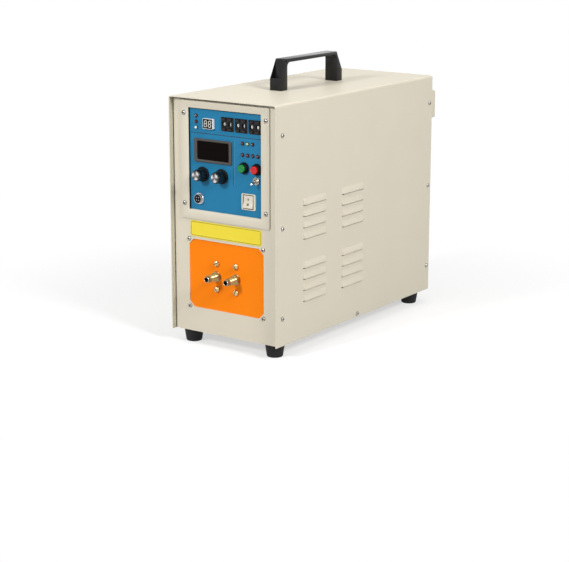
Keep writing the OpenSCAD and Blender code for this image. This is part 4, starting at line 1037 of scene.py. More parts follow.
def lampPieces():
    radius, shoulder, sink = lamps["radius"], lamps["shoulder"], lamps["sink"]
    dome = [(-sink, 0), (-sink, radius), (shoulder, radius)]
    dome += arcPoints(shoulder, 0, radius, lamps["domeAngles"]) + [(shoulder + radius, 0)]
    hole, wide = radius + lamps["slack"], lamps["holderRadius"]
    under, top = -lamps["holderSink"], lamps["holderHeight"]
    collar = roundedProfile([(under, hole), (top, hole), (top, wide), (under, wide)],
                            lamps["holderRound"])
    lenses = {lens: bmesh.new() for lens in ("Red", "Green", "Clear")}
    holders = bmesh.new()
    for lens, spot in lampPlaces():
        centre = Vector((spot.x, plateFace, spot.z))
        joinMeshes(lenses[lens], turnedMesh(dome, centre, forward, steps=24))
        joinMeshes(holders, turnedMesh(collar + collar[:1], centre, forward, steps=24))
    for lens, bm in lenses.items():
        finishPiece(f"lamps{lens}", bm, [f"lens{lens}"],
                    ["indicator_lamps"] if lens == "Red" else ())
    # The holders are real black parts, made large enough that their ring also stands for the shade round
    # each lamp: partly painted shade
    finishPiece("lampHoldersAndShade", holders, ["absBlack"])


lampPieces()


# Push buttons: black cone-shaped collars, and glossy caps with a shallow dish in front

button = {"collarFoot": 10, "collarRim": 8.4, "collarRound": 0.5, "bore": 7, "barrel": 9,
          "cap": 6.6, "capRound": 1.1, "capFoot": 1, "dish": 0.6, "dishRim": 1.6, "dishEdge": 3.4,
          "stem": 2, "flange": 7.4, "flangeRear": 4.2, "flangeFront": 2.2}


def capProfile(deep, top):
    cap, stem, flange, dish = (button[k] for k in ("cap", "stem", "flange", "dish"))
    rear, front = -button["flangeRear"], -button["flangeFront"]
    face = [(-button["capFoot"], cap), (top, cap), (top, cap - button["dishRim"]),
            (top - dish, cap - button["dishEdge"]), (top - dish, 0)]
    return [(deep, 0), (deep, stem), (rear, stem), (rear, flange), (front, flange),
            (front, cap)] + roundedProfile(face, button["capRound"], segments=4)


def buttonPieces():
    rings = bmesh.new()
    top = (plateFace - lowOf("button_rings").y) / mm
    deep = (plateFace - highOf("button_rings").y) / mm
    bore, barrel = button["bore"], button["barrel"]
    collar = roundedProfile([(deep, bore), (top, bore), (top, button["collarRim"]),
                             (0, button["collarFoot"]), (0, barrel), (deep, barrel), (deep, bore)],
                            button["collarRound"])
    for name, finish in (("start", "acrylicGreen"), ("stop", "acrylicRed")):
        node = f"{name}_button"
        centre = middleOf(node, plateFace)
        profile = capProfile((plateFace - highOf(node).y) / mm, (plateFace - lowOf(node).y) / mm)
        finishPiece(f"{name}Cap", turnedMesh(profile, centre, forward, steps=56), [finish],
                    [node], body=node)
        joinMeshes(rings, turnedMesh(collar, centre, forward, steps=56))
    finishPiece("buttonCollars", rings, ["absBlackMatt"], ["button_rings"])


buttonPieces()


# Knobs: fluted grip on a skirt with a pointer, and a spun metal cap. Grip rings are given as
# (height above the skirt or below the top, distance inside the radius, share of the flutes)

knob = {"skirtRadius": 13, "skirtGap": 0.6, "skirtHeight": 3, "skirtRound": 0.35, "skirtEdge": 0.6,
        "skirtShoulder": 0.3, "hollow": 8.5, "hollowDepth": 2, "shaft": 3, "shaftDepth": 8,
        "gripRadius": 10.8, "tipRadius": 9.8, "height": 21.4, "flutes": 12, "fluteDepth": 1.2,
        "flutePoints": 6, "fluteCurve": 0.5, "footRings": ((-0.1, 0.1, 1), (1, 0, 1)),
        "tipRings": ((2.6, 0, 1), (1.5, 0.3, 0.9), (0.6, 0.95, 0.5), (0, 1.9, 0)),
        "nibInside": 2, "nibWide": 1.1, "nibNeck": 0.8, "nibTaper": 1.6, "nibShort": 0.05,
        "nibFoot": 1.6, "nibRise": 0.7, "nibRound": 0.2, "capRadius": 7.3, "capHeight": 22,
        "capSink": 0.6, "capEdge": (0.3, 0.4), "capLip": 1.3, "capDish": (0.15, 1.6),
        "paintedReflectionFans": 3, "paintedReflectionStart": 0.9}


def gripOutline(radius, share):
    points, count = [], knob["flutes"] * knob["flutePoints"]
    for i in range(count):
        angle = 2 * math.pi * i / count
        wave = max(0.0, math.cos(angle * knob["flutes"])) ** knob["fluteCurve"]
        reach = radius - share * knob["fluteDepth"] * wave
        points.append((reach * math.cos(angle), reach * math.sin(angle)))
    return points


def knobMesh(centre):
    gap, skirt, grip, shaft = (knob[k] for k in ("skirtGap", "skirtRadius", "gripRadius", "shaft"))
    base, under = gap + knob["skirtHeight"], gap + knob["hollowDepth"]
    bm = turnedMesh(roundedProfile(
        [(-knob["shaftDepth"], 0), (-knob["shaftDepth"], shaft), (under, shaft),
         (under, knob["hollow"]), (gap, knob["hollow"]), (gap, skirt),
         (base - knob["skirtEdge"], skirt), (base, grip + knob["skirtShoulder"]), (base, 0)],
        knob["skirtRound"]), centre, forward, steps=72)
    for face in bm.faces:
        face.material_index = 1
    place = facingFront(centre)
    rings = [(gripOutline(grip - inside, share), base + rise)
             for rise, inside, share in knob["footRings"]]
    rings += [(gripOutline(knob["tipRadius"] - inside, share), knob["height"] - drop)
              for drop, inside, share in knob["tipRings"]]
    joinMeshes(bm, loftMesh(rings, place, closed=False), 0)
    start, neck = grip - knob["nibInside"], skirt - knob["nibTaper"]
    nib = [(start, knob["nibWide"]), (start, -knob["nibWide"]), (neck, -knob["nibNeck"]),
           (skirt - knob["nibShort"], 0), (neck, knob["nibNeck"])]
    joinMeshes(bm, prismMesh(nib, base - knob["nibFoot"], base + knob["nibRise"], place,
                             knob["nibRound"]), 1)
    return bm


def knobPieces():
    face, wide, seat = knob["capHeight"], knob["capRadius"], knob["height"] - knob["capSink"]
    (edgeDrop, edgeInset), (dishDrop, dishInset) = knob["capEdge"], knob["capDish"]
    profile = [(seat, 0), (seat, wide), (face - edgeDrop, wide), (face, wide - edgeInset),
               (face, wide - knob["capLip"]), (face - dishDrop, wide - dishInset),
               (face - dishDrop, 0)]
    for name in ("left", "right"):
        node = f"{name}_knob"
        low = lowOf(node)
        centre = Vector((low.x + knob["skirtRadius"] * mm, plateFace, middleOf(node).z))
        finishPiece(f"{name}Knob", knobMesh(centre), ["absBlackGloss", "absBlackMatt"],
                    [node], body=node, angle=40)
        cap = finishPiece(f"{name}KnobCap", turnedMesh(profile, centre, forward, steps=96),
                          ["spunAluminium"], body=node)
        # Fans of darker colour round the cap's middle, set on its vertices: a painted reflection of the
        # spun metal
        paintedReflection = cap.data.attributes.new("paintedReflection", "FLOAT", "POINT")
        for i, vert in enumerate(cap.data.vertices):
            spot = vert.co - centre
            turned = knob["paintedReflectionFans"] * math.atan2(spot.z, spot.x) + knob["paintedReflectionStart"]
            paintedReflection.data[i].value = 0.5 + 0.5 * math.cos(turned)


knobPieces()
print("lamps, buttons and knobs made")


# Toggle switch: nickel nut and threaded bushing, chrome bat lever. The ball and the shaft are
# (along, radius) pairs; the shaft's first values are shares of the lever's length

toggle = {"nutRadius": 7.2, "nutHeight": 3, "bushingRadius": 5, "bushingHeight": 6,
          "threadPitch": 0.8, "threadDepth": 0.25, "threadStop": 0.6, "chamfer": (0.3, 0.7),
          "mouth": 3.6, "throat": 2.4, "throatDepth": 3.2, "sink": 1, "bodyInset": 0.7,
          "bodyDepth": 2, "bodyRound": 0.5, "leverLength": 14.5, "tiltDown": 12, "pivot": 1,
          "ball": ((-6, 0), (-6, 1.2), (-2.6, 1.2), (-1.5, 2.6), (0, 3), (1.5, 2.6), (2.6, 1.5)),
          "shaftShares": ((0.45, 1.65), (0.75, 2.05)), "tip": 2.3, "tipStart": 0.8,
          "tipAngles": (70, 50, 30, 15)}


def toggleBushing():
    low, high, centre = lowOf("toggle_body"), highOf("toggle_body"), middleOf("toggle_body", plateFace)
    tall, radius, sink = toggle["bushingHeight"], toggle["bushingRadius"], toggle["sink"]
    bm = hexMesh(centre, forward, 0, toggle["nutHeight"], toggle["nutRadius"])
    first, second = toggle["chamfer"]
    profile = [(-sink, 0), (-sink, radius)]
    profile += threadProfile(toggle["nutHeight"], tall - toggle["threadStop"], radius,
                             toggle["threadPitch"], toggle["threadDepth"])
    profile += [(tall - first, radius - first), (tall, radius - second), (tall, toggle["mouth"]),
                (toggle["throatDepth"], toggle["throat"]), (toggle["throatDepth"], 0)]
    joinMeshes(bm, turnedMesh(profile, centre, forward, steps=40))
    inset = toggle["bodyInset"] * mm
    joinMeshes(bm, blockMesh((low.x + inset, plateFace + toggle["bodyDepth"] * mm, low.z),
                             (high.x - inset, high.y, high.z), toggle["bodyRound"]))
    finishPiece("toggleBushing", bm, ["nickelRing"], ["toggle_body"])


def toggleLever():
    centre, lean = middleOf("toggle_body", plateFace), math.radians(toggle["tiltDown"])
    end, tip = toggle["leverLength"], toggle["tip"]
    profile = list(toggle["ball"]) + [(end * share, r) for share, r in toggle["shaftShares"]]
    profile += [(end - toggle["tipStart"], tip), (end, tip)]
    profile += arcPoints(end, 0, tip, toggle["tipAngles"]) + [(end + tip, 0)]
    lever = turnedMesh(profile, centre - back * toggle["pivot"] * mm,
                       (0, -math.cos(lean), -math.sin(lean)), steps=40)
    finishPiece("toggleLever", lever, ["chromePlate"], ["toggle_lever"],
                body="toggle_lever", angle=50)


toggleBushing()
toggleLever()


# Foot switch socket: flange and threaded shell in chrome, black insert with its key and pins

socket = {"flange": 9.75, "flangeHeight": 2.2, "flangeFoot": 0.3, "flangeRound": 0.45,
          "shell": 8.2, "bore": 7.4, "rim": 0.3, "mouth": 0.25, "rimEdge": 0.35, "sink": 1,
          "threadStop": 0.6, "threadPitch": 0.9, "threadDepth": 0.22, "insertSlack": 0.03,
          "insertRound": 0.3, "keyWide": 1.8, "keyFrom": 5.6, "keyTo": 7.3, "keyRise": 0.7,
          "keyFoot": 2, "keyRound": 0.2, "pins": 4, "pinCircle": 3.4, "pinRadius": 0.85,
          "pinOut": 0.95, "pinIn": 2, "pinRound": 0.4}


def socketShell(deep, proud):
    shell, bore, flange = socket["shell"], socket["bore"], socket["flange"]
    foot, edge = socket["flangeHeight"], socket["rimEdge"]
    profile = [(deep, bore), (proud - socket["rim"], bore), (proud, bore + socket["mouth"]),
               (proud, shell - edge), (proud - edge, shell)]
    profile += reversed(threadProfile(foot + socket["threadStop"], proud - socket["threadStop"],
                                      shell, socket["threadPitch"], socket["threadDepth"]))
    profile += roundedProfile([(foot, shell - socket["flangeFoot"]), (foot, flange), (0, flange),
                               (0, shell)], socket["flangeRound"])
    return profile + [(deep, shell), (deep, bore)]


def socketPieces():
    low, high = lowOf("foot_switch_socket"), highOf("foot_switch_socket")
    centre = middleOf("foot_switch_socket", plateFace)
    deep, proud = (plateFace - high.y) / mm, (plateFace - low.y) / mm
    finishPiece("socketShell", turnedMesh(socketShell(deep, proud), centre, forward, steps=64),
                ["chromePlate"], ["foot_switch_socket"])
    front, wide = proud - socket["sink"], socket["bore"] - socket["insertSlack"]
    bm = turnedMesh(roundedProfile([(deep, 0), (deep, wide), (front, wide), (front, 0)],
                                   socket["insertRound"]), centre, forward)
    half = socket["keyWide"] / 2
    joinMeshes(bm, blockMesh(
        centre + Vector((-half, -front - socket["keyRise"], socket["keyFrom"])) * mm,
        centre + Vector((half, -socket["keyFoot"], socket["keyTo"])) * mm, socket["keyRound"]))
    finishPiece("socketInsert", bm, ["absBlackMatt"])
    root, end, radius = front - socket["pinIn"], front + socket["pinOut"], socket["pinRadius"]
    pin = roundedProfile([(root, 0), (root, radius), (end, radius), (end, 0)], socket["pinRound"])
    pins = bmesh.new()
    for i in range(socket["pins"]):
        angle = 2 * math.pi * (i + 0.5) / socket["pins"]
        spot = centre + Vector((math.sin(angle), 0, math.cos(angle))) * socket["pinCircle"] * mm
        joinMeshes(pins, turnedMesh(pin, spot, forward, steps=16))
    finishPiece("socketPins", pins, ["chromePlate"])


socketPieces()


# Power rocker switch: pillow-shaped frame with round corners, rocker with its two marks

rocker = {"corner": 2.5, "holeCorner": 0.5, "frameRound": 1.3, "frameBand": (3, 2), "proud": 2,
          "bodyInset": 1.5, "overlap": 1, "floor": 1.5, "holeWide": 22.2, "slack": 1.1,
          "wide": 19.6, "tilt": 8, "radius": 11, "endGap": 0.3, "face": 2.2, "bend": 5,
          "bendShare": 0.35, "skirt": 3, "backDepth": 5, "backHalf": 8, "edgeRound": 0.6,
          "markShare": 0.34, "markUp": 4.3, "markDown": -4.4, "markLean": 7.3, "markRise": 0.12,
          "markSink": 0.9, "strokeWide": 1.5, "strokeTall": 3.8, "circle": 2.2, "circleHole": 0.9,
          "circleStep": 15}


def rockerFrame(centre):
    low, high, size = lowOf("rocker_frame"), highOf("rocker_frame"), sizeOf("rocker_frame")
    holeTall = 2 * (rocker["radius"] + rocker["slack"])
    bandX, bandZ = ((size[k] / 2 - band) * mm for k, band in zip((0, 2), rocker["frameBand"]))
    bm = ringMesh(roundOutline(size.x, size.z, rocker["corner"]),
                  roundOutline(rocker["holeWide"], holeTall, rocker["holeCorner"]), 0,
                  rocker["proud"], facingFront(centre))
    bevelEdges(bm, rocker["frameRound"], segments=4,
               only=lambda e: all(v.co.y < low.y + near and (abs(v.co.x - centre.x) > bandX
                                                             or abs(v.co.z - centre.z) > bandZ)
                                  for v in e.verts))
    halfX, halfZ = rocker["holeWide"] / 2 * mm, holeTall / 2 * mm
    # The hole's walls and the floor behind it take the dark finish: painted shade in the gap round the
    # rocker
    for face in bm.faces:
        spot = face.calc_center_median() - centre
        if abs(spot.x) < halfX + 10 * near and abs(spot.z) < halfZ + 10 * near:
            face.material_index = 1
    inset = rocker["bodyInset"] * mm
    x0, x1, z0, z1 = low.x + inset, high.x - inset, low.z + inset, high.z - inset
    inX0, inX1, inZ0, inZ1 = centre.x - halfX, centre.x + halfX, centre.z - halfZ, centre.z + halfZ
    for fromX, toX, fromZ, toZ in ((x0, inX0, z0, z1), (inX1, x1, z0, z1),
                                   (inX0, inX1, z0, inZ0), (inX0, inX1, inZ1, z1)):
        joinMeshes(bm, blockMesh((fromX, plateFace - rocker["overlap"] * mm, fromZ),
                                 (toX, high.y, toZ)))
    joinMeshes(bm, blockMesh((x0, high.y - rocker["floor"] * mm, z0), (x1, high.y, z1)), 1)
    return bm


def rockerPaddle(centre, rise):
    end, face, bend = rocker["radius"] - rocker["endGap"], rocker["face"], rocker["bend"]
    skirt, deep, rear = -rocker["skirt"], -rocker["backDepth"], rocker["backHalf"]
    bent = face + rocker["bendShare"] * rise
    outline = [(-end, face + rise), (-bend, bent), (0, face), (bend, bent), (end, face + rise),
               (end, skirt), (rear, deep), (-rear, deep), (-end, skirt)]
    bm = prismMesh(outline, -rocker["wide"] / 2, rocker["wide"] / 2,
                   lambda a, b, h: centre + Vector((h, -b, a)) * mm)
    bevelEdges(bm, rocker["edgeRound"], segments=3, angle=25)
    return bm


def rockerMarks(centre, rise):
    # A stroke above and a ring below, each leaning with the half of the rocker that it lies on
    proud = rocker["face"] + rocker["markShare"] * rise
    outside, inside = proud + rocker["markRise"], proud - rocker["markSink"]
    half, tall = rocker["strokeWide"] / 2, rocker["strokeTall"] / 2
    marks = blockMesh(centre + Vector((-half, -outside, rocker["markUp"] - tall)) * mm,
                      centre + Vector((half, -inside, rocker["markUp"] + tall)) * mm)
    turns = range(0, 360, rocker["circleStep"])
    circle, hole = (arcPoints(0, 0, rocker[k], turns) for k in ("circle", "circleHole"))
    ring = ringMesh(circle, hole, inside, outside, facingFront(centre + up * rocker["markDown"] * mm))
    for mesh, level, lean in ((marks, rocker["markUp"], rocker["markLean"]),
                              (ring, rocker["markDown"], -rocker["markLean"])):
        bmesh.ops.rotate(mesh, cent=centre + Vector((0, -proud, level)) * mm,
                         matrix=Matrix.Rotation(math.radians(lean), 3, "X"), verts=mesh.verts)
    joinMeshes(marks, ring)
    return marks


def rockerPieces():
    centre = middleOf("rocker_frame", plateFace)
    finishPiece("rockerFrame", rockerFrame(centre), ["nylonIvory", "paintedShadeDark"],
                ["rocker_frame"])
    tilt = math.radians(rocker["tilt"])
    rise = rocker["radius"] * math.tan(tilt)
    paddle, marks = rockerPaddle(centre, rise), rockerMarks(centre, rise)
    for mesh in (paddle, marks):
        bmesh.ops.rotate(mesh, cent=centre, matrix=Matrix.Rotation(-tilt, 3, "X"), verts=mesh.verts)
    finishPiece("rockerPaddle", paddle, ["nylonIvory"], ["power_rocker"],
                body="power_rocker")
    finishPiece("rockerMarks", marks, ["absBlackMatt"], body="power_rocker")


rockerPieces()
print("switches made")


# Output fittings: washers and hexagon nuts, threaded barrels, stepped bright tips, open bores.
# Behind the board each has a block with a tail; barbs are (along, radius) pairs on that tail

fitting = {"offset": 20.5, "stepBack": 4.5, "radius": 6.5, "wall": 4.2, "deep": 4, "bore": 4,
           "washer": (6, 9.3, 1.2), "washerRound": 0.3, "nutRadius": 9.5, "nutHeight": 6,
           "threadFrom": 0.4, "threadStop": 2.4, "threadPitch": 1.0, "threadDepth": 0.32,
           "shoulder": ((2.0, 0.5), (1.6, 0), (0.5, 0), (0, 0.5)), "tipRadius": 5.3,
           "tipSink": 0.2, "tipNeck": 0.5, "tipWall": 4.1, "tipStep": (1.0, 1.3),
           "tipRound": ((1.4, 0), (0.5, 0.25), (0, 0.6)), "mouth": 4.3, "mouthDepth": 0.5,
           "boreFrom": 0.6, "boreSlack": 0.02, "boreDepth": 8, "block": 11, "blockFrom": 5,
           "blockRound": 0.8, "tailBack": 8, "tailBore": 3.5, "tailLength": 15,
           "barbs": ((-1, 5), (4, 5), (4.5, 4.4), (8, 5), (8.5, 4.4), (12, 5)), "tailEnd": 4.4}


def barrelMesh(centre, step):
    radius, nut = fitting["radius"], fitting["nutHeight"]
    hole, wide, thick = fitting["washer"]
    bm = turnedMesh(roundedProfile([(0, hole), (0, wide), (thick, wide), (thick, hole)],
                                   fitting["washerRound"]), centre, forward)
    joinMeshes(bm, hexMesh(centre, forward, thick, nut, fitting["nutRadius"]))
    body = [(-fitting["deep"], fitting["wall"]), (-fitting["deep"], radius), (nut, radius)]
    body += threadProfile(nut + fitting["threadFrom"], step - fitting["threadStop"], radius,
                          fitting["threadPitch"], fitting["threadDepth"])
    body += [(step - drop, radius - inside) for drop, inside in fitting["shoulder"]]
    joinMeshes(bm, turnedMesh(body + [(step, fitting["wall"])], centre, forward))
    return bm


def tipMesh(centre, step, reach):
    tip, bore, start = fitting["tipRadius"], fitting["bore"], step - fitting["tipSink"]
    neck, (foot, top) = tip - fitting["tipNeck"], fitting["tipStep"]
    profile = [(start, fitting["tipWall"]), (start, neck), (step + foot, neck), (step + top, tip)]
    profile += [(reach - drop, tip - inside) for drop, inside in fitting["tipRound"]]
    profile += [(reach, fitting["mouth"]), (reach - fitting["mouthDepth"], bore), (start, bore)]
    return turnedMesh(profile + profile[:1], centre, forward)


def boreMesh(start, depth, bore, centre, axis, steps):
    # The wall and floor of a bore, seen from inside
    # The bore takes the dark finish: painted shade inside it
    radius = bore + fitting["boreSlack"]
    bm = turnedMesh([(start, radius), (-depth, radius), (-depth, 0)], centre, axis, steps)
    bmesh.ops.reverse_faces(bm, faces=bm.faces)
    return bm


def fittingPieces():
    plate = lowOf("output_board").y
    low, high, level = lowOf("output_fittings"), highOf("output_fittings"), middleOf("output_fittings").z
    reach = (plate - low.y) / mm
    step = reach - fitting["stepBack"]
    block, wall = fitting["block"] * mm, fitting["tailBore"]
    end = high.x / mm - fitting["tailLength"] - fitting["offset"]
    tail = [(fitting["barbs"][0][0], wall), *fitting["barbs"], (end, fitting["tailEnd"]), (end, wall)]
    barrels, tips, bores = bmesh.new(), bmesh.new(), bmesh.new()
    for side in (-1, 1):
        centre = Vector((side * fitting["offset"] * mm, plate, level))
        joinMeshes(barrels, barrelMesh(centre, step))
        joinMeshes(tips, tipMesh(centre, step, reach))
        joinMeshes(bores, boreMesh(reach - fitting["boreFrom"], fitting["boreDepth"],
                                   fitting["bore"], centre, forward, steps=40))
        joinMeshes(barrels, blockMesh(
            (centre.x - block, plate + fitting["blockFrom"] * mm, low.z),
            (centre.x + block, high.y, high.z), fitting["blockRound"]))
        root = Vector((centre.x + side * block, high.y - fitting["tailBack"] * mm, level))
        joinMeshes(barrels, turnedMesh(tail + tail[:1], root, right * side, steps=32))
    finishPiece("fittingBarrels", barrels, ["brassTurned"], ["output_fittings"])
    finishPiece("fittingTips", tips, ["nickelRing"])
    finishPiece("fittingBores", bores, ["paintedShadeDark"])


# Screws: slotted brass ones on the board, zinc ones with a cross on the cabinet. The crown is
# the dome's share of the height, and the seat is a dark rim of shadow round the head

screws = {"brass": {"radius": 5.5, "height": 5, "slots": 1, "slotWidth": 1.3, "slotLength": 9,
                    "slotDepth": 1.6, "crown": 0.55, "seat": 0},
          "case": {"radius": 3.9, "height": 2.4, "slots": 2, "slotWidth": 1.6, "slotLength": 2.8,
                   "slotDepth": 1.5, "crown": 0.6, "seat": 0.45},
          "rimShare": 0.96, "rimRise": 0.2, "domeAngles": (18, 36, 52, 66, 78), "steps": 32,
          "boardTurns": (-38, 24, 61, -12), "turnEach": 37, "domeTilt": 0.05,
          "longShare": 1.1}


def headMesh(head):
    # One head on the origin, looking forward, with its slot or cross sunk in the dome
    height, radius, crown = head["height"], head["radius"] - head["seat"], head["crown"]
    rim = height * (1 - crown)
    profile = [(0, 0), (0, radius * screws["rimShare"]), (rim * screws["rimRise"], radius),
               (rim, radius)]
    profile += [(rim + height * crown * math.sin(math.radians(a)), radius * math.cos(math.radians(a)))
                for a in screws["domeAngles"]]
    bm = turnedMesh(profile + [(height, 0)], (0, 0, 0), forward, screws["steps"])
    half, reach, cross = head["slotWidth"] / 2 * mm, head["slotLength"] * mm, head["slots"] == 2
    planes = [(right, half), (right, -half)]
    if cross:
        planes += [(up, half), (up, -half), (right, reach), (right, -reach), (up, reach), (up, -reach)]
    for normal, at in planes:
        cutAcross(bm, normal * at, normal)
    cut = []
    for face in bm.faces:
        spot = face.calc_center_median()
        onDome = spot.y < -rim / 2 * mm and face.normal.y < -screws["domeTilt"]
        upright = abs(spot.x) < half and abs(spot.z) < reach
        level = cross and abs(spot.z) < half and abs(spot.x) < reach
        if onDome and (upright or level):
            cut.append(face)
    verts, faces = raiseFaces(bm, cut)
    bmesh.ops.delete(bm, geom=cut, context="FACES")
    for vert in verts:
        vert.co.y = (head["slotDepth"] - height) * mm
    # The slot's faces take the dark finish: painted shade in the slot
    for face in faces:
        face.material_index = 1
    if head["seat"]:
        outer, thick = head["radius"], height * screws["rimRise"]
        joinMeshes(bm, turnedMesh([(0, 0), (0, outer), (thick, outer), (thick, 0)], (0, 0, 0),
                                  forward, screws["steps"]), 1)
    bmesh.ops.recalc_face_normals(bm, faces=bm.faces)
    return bm


def placedHeads(head, places):
    # Copies of one head at (point, direction it looks, turn in degrees) places
    bm = bmesh.new()
    holder = bpy.data.meshes.new("head")
    head.to_mesh(holder)
    head.free()
    for point, direction, twist in places:
        start = len(bm.verts)
        bm.from_mesh(holder)
        bm.verts.ensure_lookup_table()
        turned = forward.rotation_difference(Vector(direction)).to_matrix().to_4x4()
        place = Matrix.Translation(point) @ turned @ Matrix.Rotation(math.radians(twist), 4, "Y")
        bmesh.ops.transform(bm, matrix=place, verts=bm.verts[start:])
    bpy.data.meshes.remove(holder)
    return bm


def screwPieces():
    plate = lowOf("output_board").y
    places = []
    for (low, high), twist in zip(islandsOf("brass_screws"), screws["boardTurns"]):
        places.append((Vector(((low.x + high.x) / 2, plate, (low.z + high.z) / 2)), forward, twist))
    finishPiece("boardScrews", placedHeads(headMesh(screws["brass"]), places),
                ["brassBright", "paintedShadeDark"], ["brass_screws"])
    places, tall = [], screws["case"]["height"] * mm
    for i, (low, high) in enumerate(islandsOf("case_screws")):
        middle, size = (low + high) / 2, high - low
        if size.x > size.z * screws["longShare"]:  # a screw through a side lies along x
            direction = right * math.copysign(1, middle.x)
            seat = high.x - tall if middle.x > 0 else low.x + tall
            point = Vector((seat, middle.y, middle.z))
        else:
            direction = forward if middle.y < 0 else back
            seat = low.y + tall if middle.y < 0 else high.y - tall
            point = Vector((middle.x, seat, middle.z))
        places.append((point, direction, (i * screws["turnEach"]) % 90))
    finishPiece("caseScrews", placedHeads(headMesh(screws["case"]), places),
                ["zincSteel", "paintedShadeDark"], ["case_screws"])


fittingPieces()
screwPieces()
print("fittings and screws made")


# Carry handle: one moulded bar with two legs, hollow at their outer ends

handle = {"stepShare": 0.37, "lean": 18, "innerRadius": 8, "leg": 19, "bar": 6, "crown": 2.4,
          "edgeRound": 1.1, "fineRound": 0.5, "hollowWall": 2.2, "hollowBack": 4, "hollowLow": 17,
          "hollowSlope": 1.2, "hollowTilt": 0.2, "innerShare": 0.9, "crownLeast": 50}


def hollowEnds(bm, middle, half, top):
    # Sinks the sloping outer faces of both legs to an upright floor
    depth = half - handle["leg"] + handle["hollowBack"]
    slope = handle["hollowSlope"] * mm
    for side in (-1, 1):
        ends = [f for f in bm.faces if f.normal.y * side > 0.5 and f.normal.z > handle["hollowTilt"]
                and abs(f.calc_center_median().y - middle.y) > (top - 1) * mm]
        bmesh.ops.inset_region(bm, faces=ends, thickness=handle["hollowWall"] * mm)
        moved = raiseFaces(bm, ends)[0]
        bmesh.ops.delete(bm, geom=ends, context="FACES")
        topmost = max(v.co.z for v in moved)
        for vert in moved:
            vert.co.y = middle.y + side * depth * mm
            vert.co.z = (topmost - slope if vert.co.z > topmost - near
                         else middle.z + handle["hollowLow"] * mm + slope)
    bmesh.ops.recalc_face_normals(bm, faces=bm.faces)


def handlePiece():
    low, high, size = lowOf("carry_handle"), highOf("carry_handle"), sizeOf("carry_handle")
    half, tall, wide = size.y / 2, size.z, size.x / 2
    middle = Vector((0, middleOf("carry_handle").y, low.z))
    inner, top, step = half - handle["leg"], half - handle["lean"], tall * handle["stepShare"]
    radius, under = handle["innerRadius"], tall - handle["bar"]
    outline = [(half, 0), (half, step), (top, tall), (-top, tall), (-half, step), (-half, 0),
               (-inner, 0)]
    outline += arcPoints(radius - inner, under - radius, radius, bendAngles(180))
    outline += arcPoints(inner - radius, under - radius, radius, bendAngles(90)) + [(inner, 0)]
    bm = prismMesh(outline, -wide, wide, lambda a, b, h: middle + Vector((h, a, b)) * mm)
    hollowEnds(bm, middle, half, top)
    within = (wide - handle["hollowWall"] * handle["innerShare"]) * mm
    for face in bm.faces:
        if all(abs(v.co.x) < within for v in face.verts):
            face.material_index = 1

    def onCrown(edge):
        # The long edges of the bar's top
        first, second = (v.co for v in edge.verts)
        long = abs(first.y - second.y) > handle["crownLeast"] * mm
        return long and min(first.z, second.z) > high.z - near

    def onFlank(edge):
        # Edges of the two sides, but for those that stand on the cover
        return (max(v.co.z for v in edge.verts) > low.z + 10 * near
                and all(abs(v.co.x) > wide * mm - 10 * near for v in edge.verts))

    bevelEdges(bm, handle["crown"], segments=5, only=onCrown)
    bevelEdges(bm, handle["edgeRound"], segments=3, angle=28, only=onFlank)
    bevelEdges(bm, handle["fineRound"], angle=40)
    finishPiece("carryHandle", bm, ["absBlackSatin", "absBlackMatt"],
                ["carry_handle"], angle=36)


handlePiece()


# Rubber feet: tapered, rounded at the floor, hollow underneath round the screw

feet = {"bottom": 13.75, "top": 17.5, "height": 24, "hollow": 6.5, "seat": 14, "hole": 2.6,
        "lip": ((3, 0.45), (2.6, 0)), "round": 2.2}


def feetPiece():
    bm = bmesh.new()
    seat, hollow, height, top = (feet[k] for k in ("seat", "hollow", "height", "top"))
    outline = [(seat, feet["hole"]), (seat, hollow), (0, hollow), (0, feet["bottom"])]
    outline += [(height - drop, top - inside) for drop, inside in feet["lip"]]
    profile = roundedProfile(outline + [(height, top), (height, feet["hole"])], feet["round"], segments=5)
    for low, high in islandsOf("rubber_feet"):
        centre = Vector(((low.x + high.x) / 2, (low.y + high.y) / 2, low.z))
        joinMeshes(bm, turnedMesh(profile + profile[:1], centre, up, steps=56))
    finishPiece("rubberFeet", bm, ["rubberBlack"], ["rubber_feet"])


feetPiece()
print("handle and feet made")


# Rear hood: one folded sheet with a sloping top and two flanges

hood = {"slope": 10, "flange": 12, "flangeRound": 0.3, "overlap": 0.2, "sheet": 1.2,
        "foldRound": 1.2}


def hoodPiece():
    low, high = lowOf("rear_hood"), highOf("rear_hood")
    flange, sheet, overlap = hood["flange"] * mm, hood["sheet"] * mm, hood["overlap"] * mm
    bottom, top, eaves = low.z + flange, high.z - flange, high.z - flange - hood["slope"] * mm
    outline = [(low.y, bottom), (high.y, bottom), (high.y, eaves), (low.y, top)]
    bm = prismMesh([(a / mm, b / mm) for a, b in outline], low.x / mm, high.x / mm,
                   lambda a, b, h: Vector((h, a, b)) * mm)
    facing = [f for f in bm.faces if f.normal.y < -aligned]
    bmesh.ops.delete(bm, geom=facing, context="FACES")
    bevelEdges(bm, hood["foldRound"], segments=3)
    bmesh.ops.solidify(bm, geom=bm.faces[:], thickness=sheet)
    for z0, z1 in ((low.z, bottom + overlap), (top - overlap, high.z)):
        joinMeshes(bm, blockMesh((low.x, low.y, z0), (high.x, low.y + sheet, z1),
                                 hood["flangeRound"], segments=1))
    finishPiece("rearHood", bm, ["powderCoatBeige"], ["rear_hood"])


# Cord gland: a barrel with two nuts and a ribbed dome. Ribs are (above the seat, radius) and the
# end is (below the top, radius)

gland = {"bore": 6, "barrel": 9, "seatDrop": 18, "ribs": ((6, 9), (7, 8.2), (8, 8.9), (12, 8.9),
         (15, 8.2)), "end": ((0.8, 7.0), (0, 6.2), (0.4, 6)), "nutRadius": 11.4, "nutHeight": 5,
         "lockFrom": 0.8, "lockGap": 1.3}


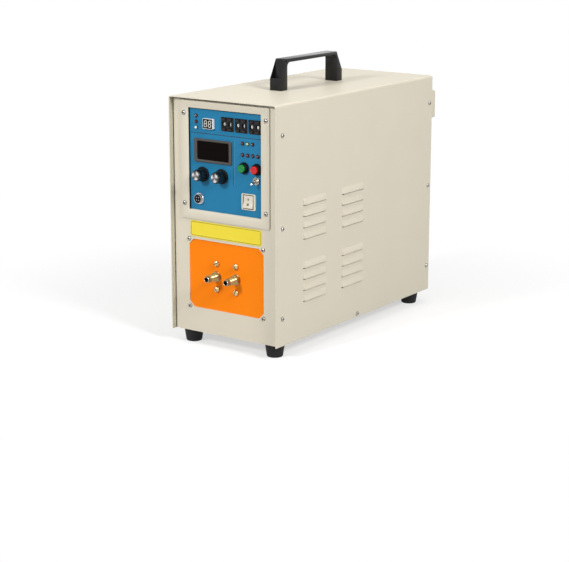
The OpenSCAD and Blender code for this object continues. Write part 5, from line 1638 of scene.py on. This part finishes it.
def glandPiece():
    high = highOf("cable_gland")
    centre = middleOf("cable_gland")
    centre.z = high.z
    tall, bore, barrel = sizeOf("cable_gland").z, gland["bore"], gland["barrel"]
    seat, nut = tall - gland["seatDrop"], gland["nutRadius"]
    profile = [(0, bore), (0, barrel), (seat, barrel)]
    profile += [(seat + above, radius) for above, radius in gland["ribs"]]
    profile += [(tall - below, radius) for below, radius in gland["end"]] + [(0, bore)]
    bm = turnedMesh(profile, centre, -up)
    joinMeshes(bm, hexMesh(centre, -up, seat, seat + gland["nutHeight"], nut))
    joinMeshes(bm, hexMesh(centre, -up, gland["lockFrom"], seat - gland["lockGap"], nut))
    finishPiece("cableGland", bm, ["absBlack"], ["cable_gland"])


# Water nozzles: a tube through the rear panel with two nuts and three barbs

nozzle = {"offset": 60, "radius": 6, "bore": 4, "reach": 26, "edge": 0.5, "rim": 0.4,
          "nutRadius": 11, "nutHeight": 6, "lockFrom": -7.5, "lockTo": -1.5,
          "barbs": (9, 15, 21), "barbLength": 4.4, "barbFlat": 0.4, "barbDepth": 0.6, "boreEnd": 1}


def nozzlePieces():
    wall, level = highOf("rear_panel").y, middleOf("water_nozzles").z
    radius, bore, reach, edge, rim = (nozzle[k] for k in ("radius", "bore", "reach", "edge", "rim"))
    inner = (wall - lowOf("water_nozzles").y) / mm
    profile = [(-inner, bore), (-inner, radius - edge), (edge - inner, radius),
               (nozzle["barbs"][0], radius)]
    for barb in nozzle["barbs"]:
        peak = barb + nozzle["barbLength"]
        profile += [(barb, radius - nozzle["barbDepth"]), (peak, radius),
                    (peak + nozzle["barbFlat"], radius)]
    profile += [(reach, radius - rim), (reach, bore + rim), (reach - rim, bore), (-inner, bore)]
    bm, bores = bmesh.new(), bmesh.new()
    for side in (-1, 1):
        centre = Vector((side * nozzle["offset"] * mm, wall, level))
        for start, end in ((0, nozzle["nutHeight"]), (nozzle["lockFrom"], nozzle["lockTo"])):
            joinMeshes(bm, hexMesh(centre, back, start, end, nozzle["nutRadius"]))
        joinMeshes(bm, turnedMesh(profile, centre, back, steps=44))
        joinMeshes(bores, boreMesh(reach - nozzle["boreEnd"], inner, bore, centre, back, steps=32))
    finishPiece("waterNozzles", bm, ["brassTurned"], ["water_nozzles"])
    finishPiece("nozzleBores", bores, ["paintedShadeDark"])


hoodPiece()
glandPiece()
nozzlePieces()
print("rear pieces made")
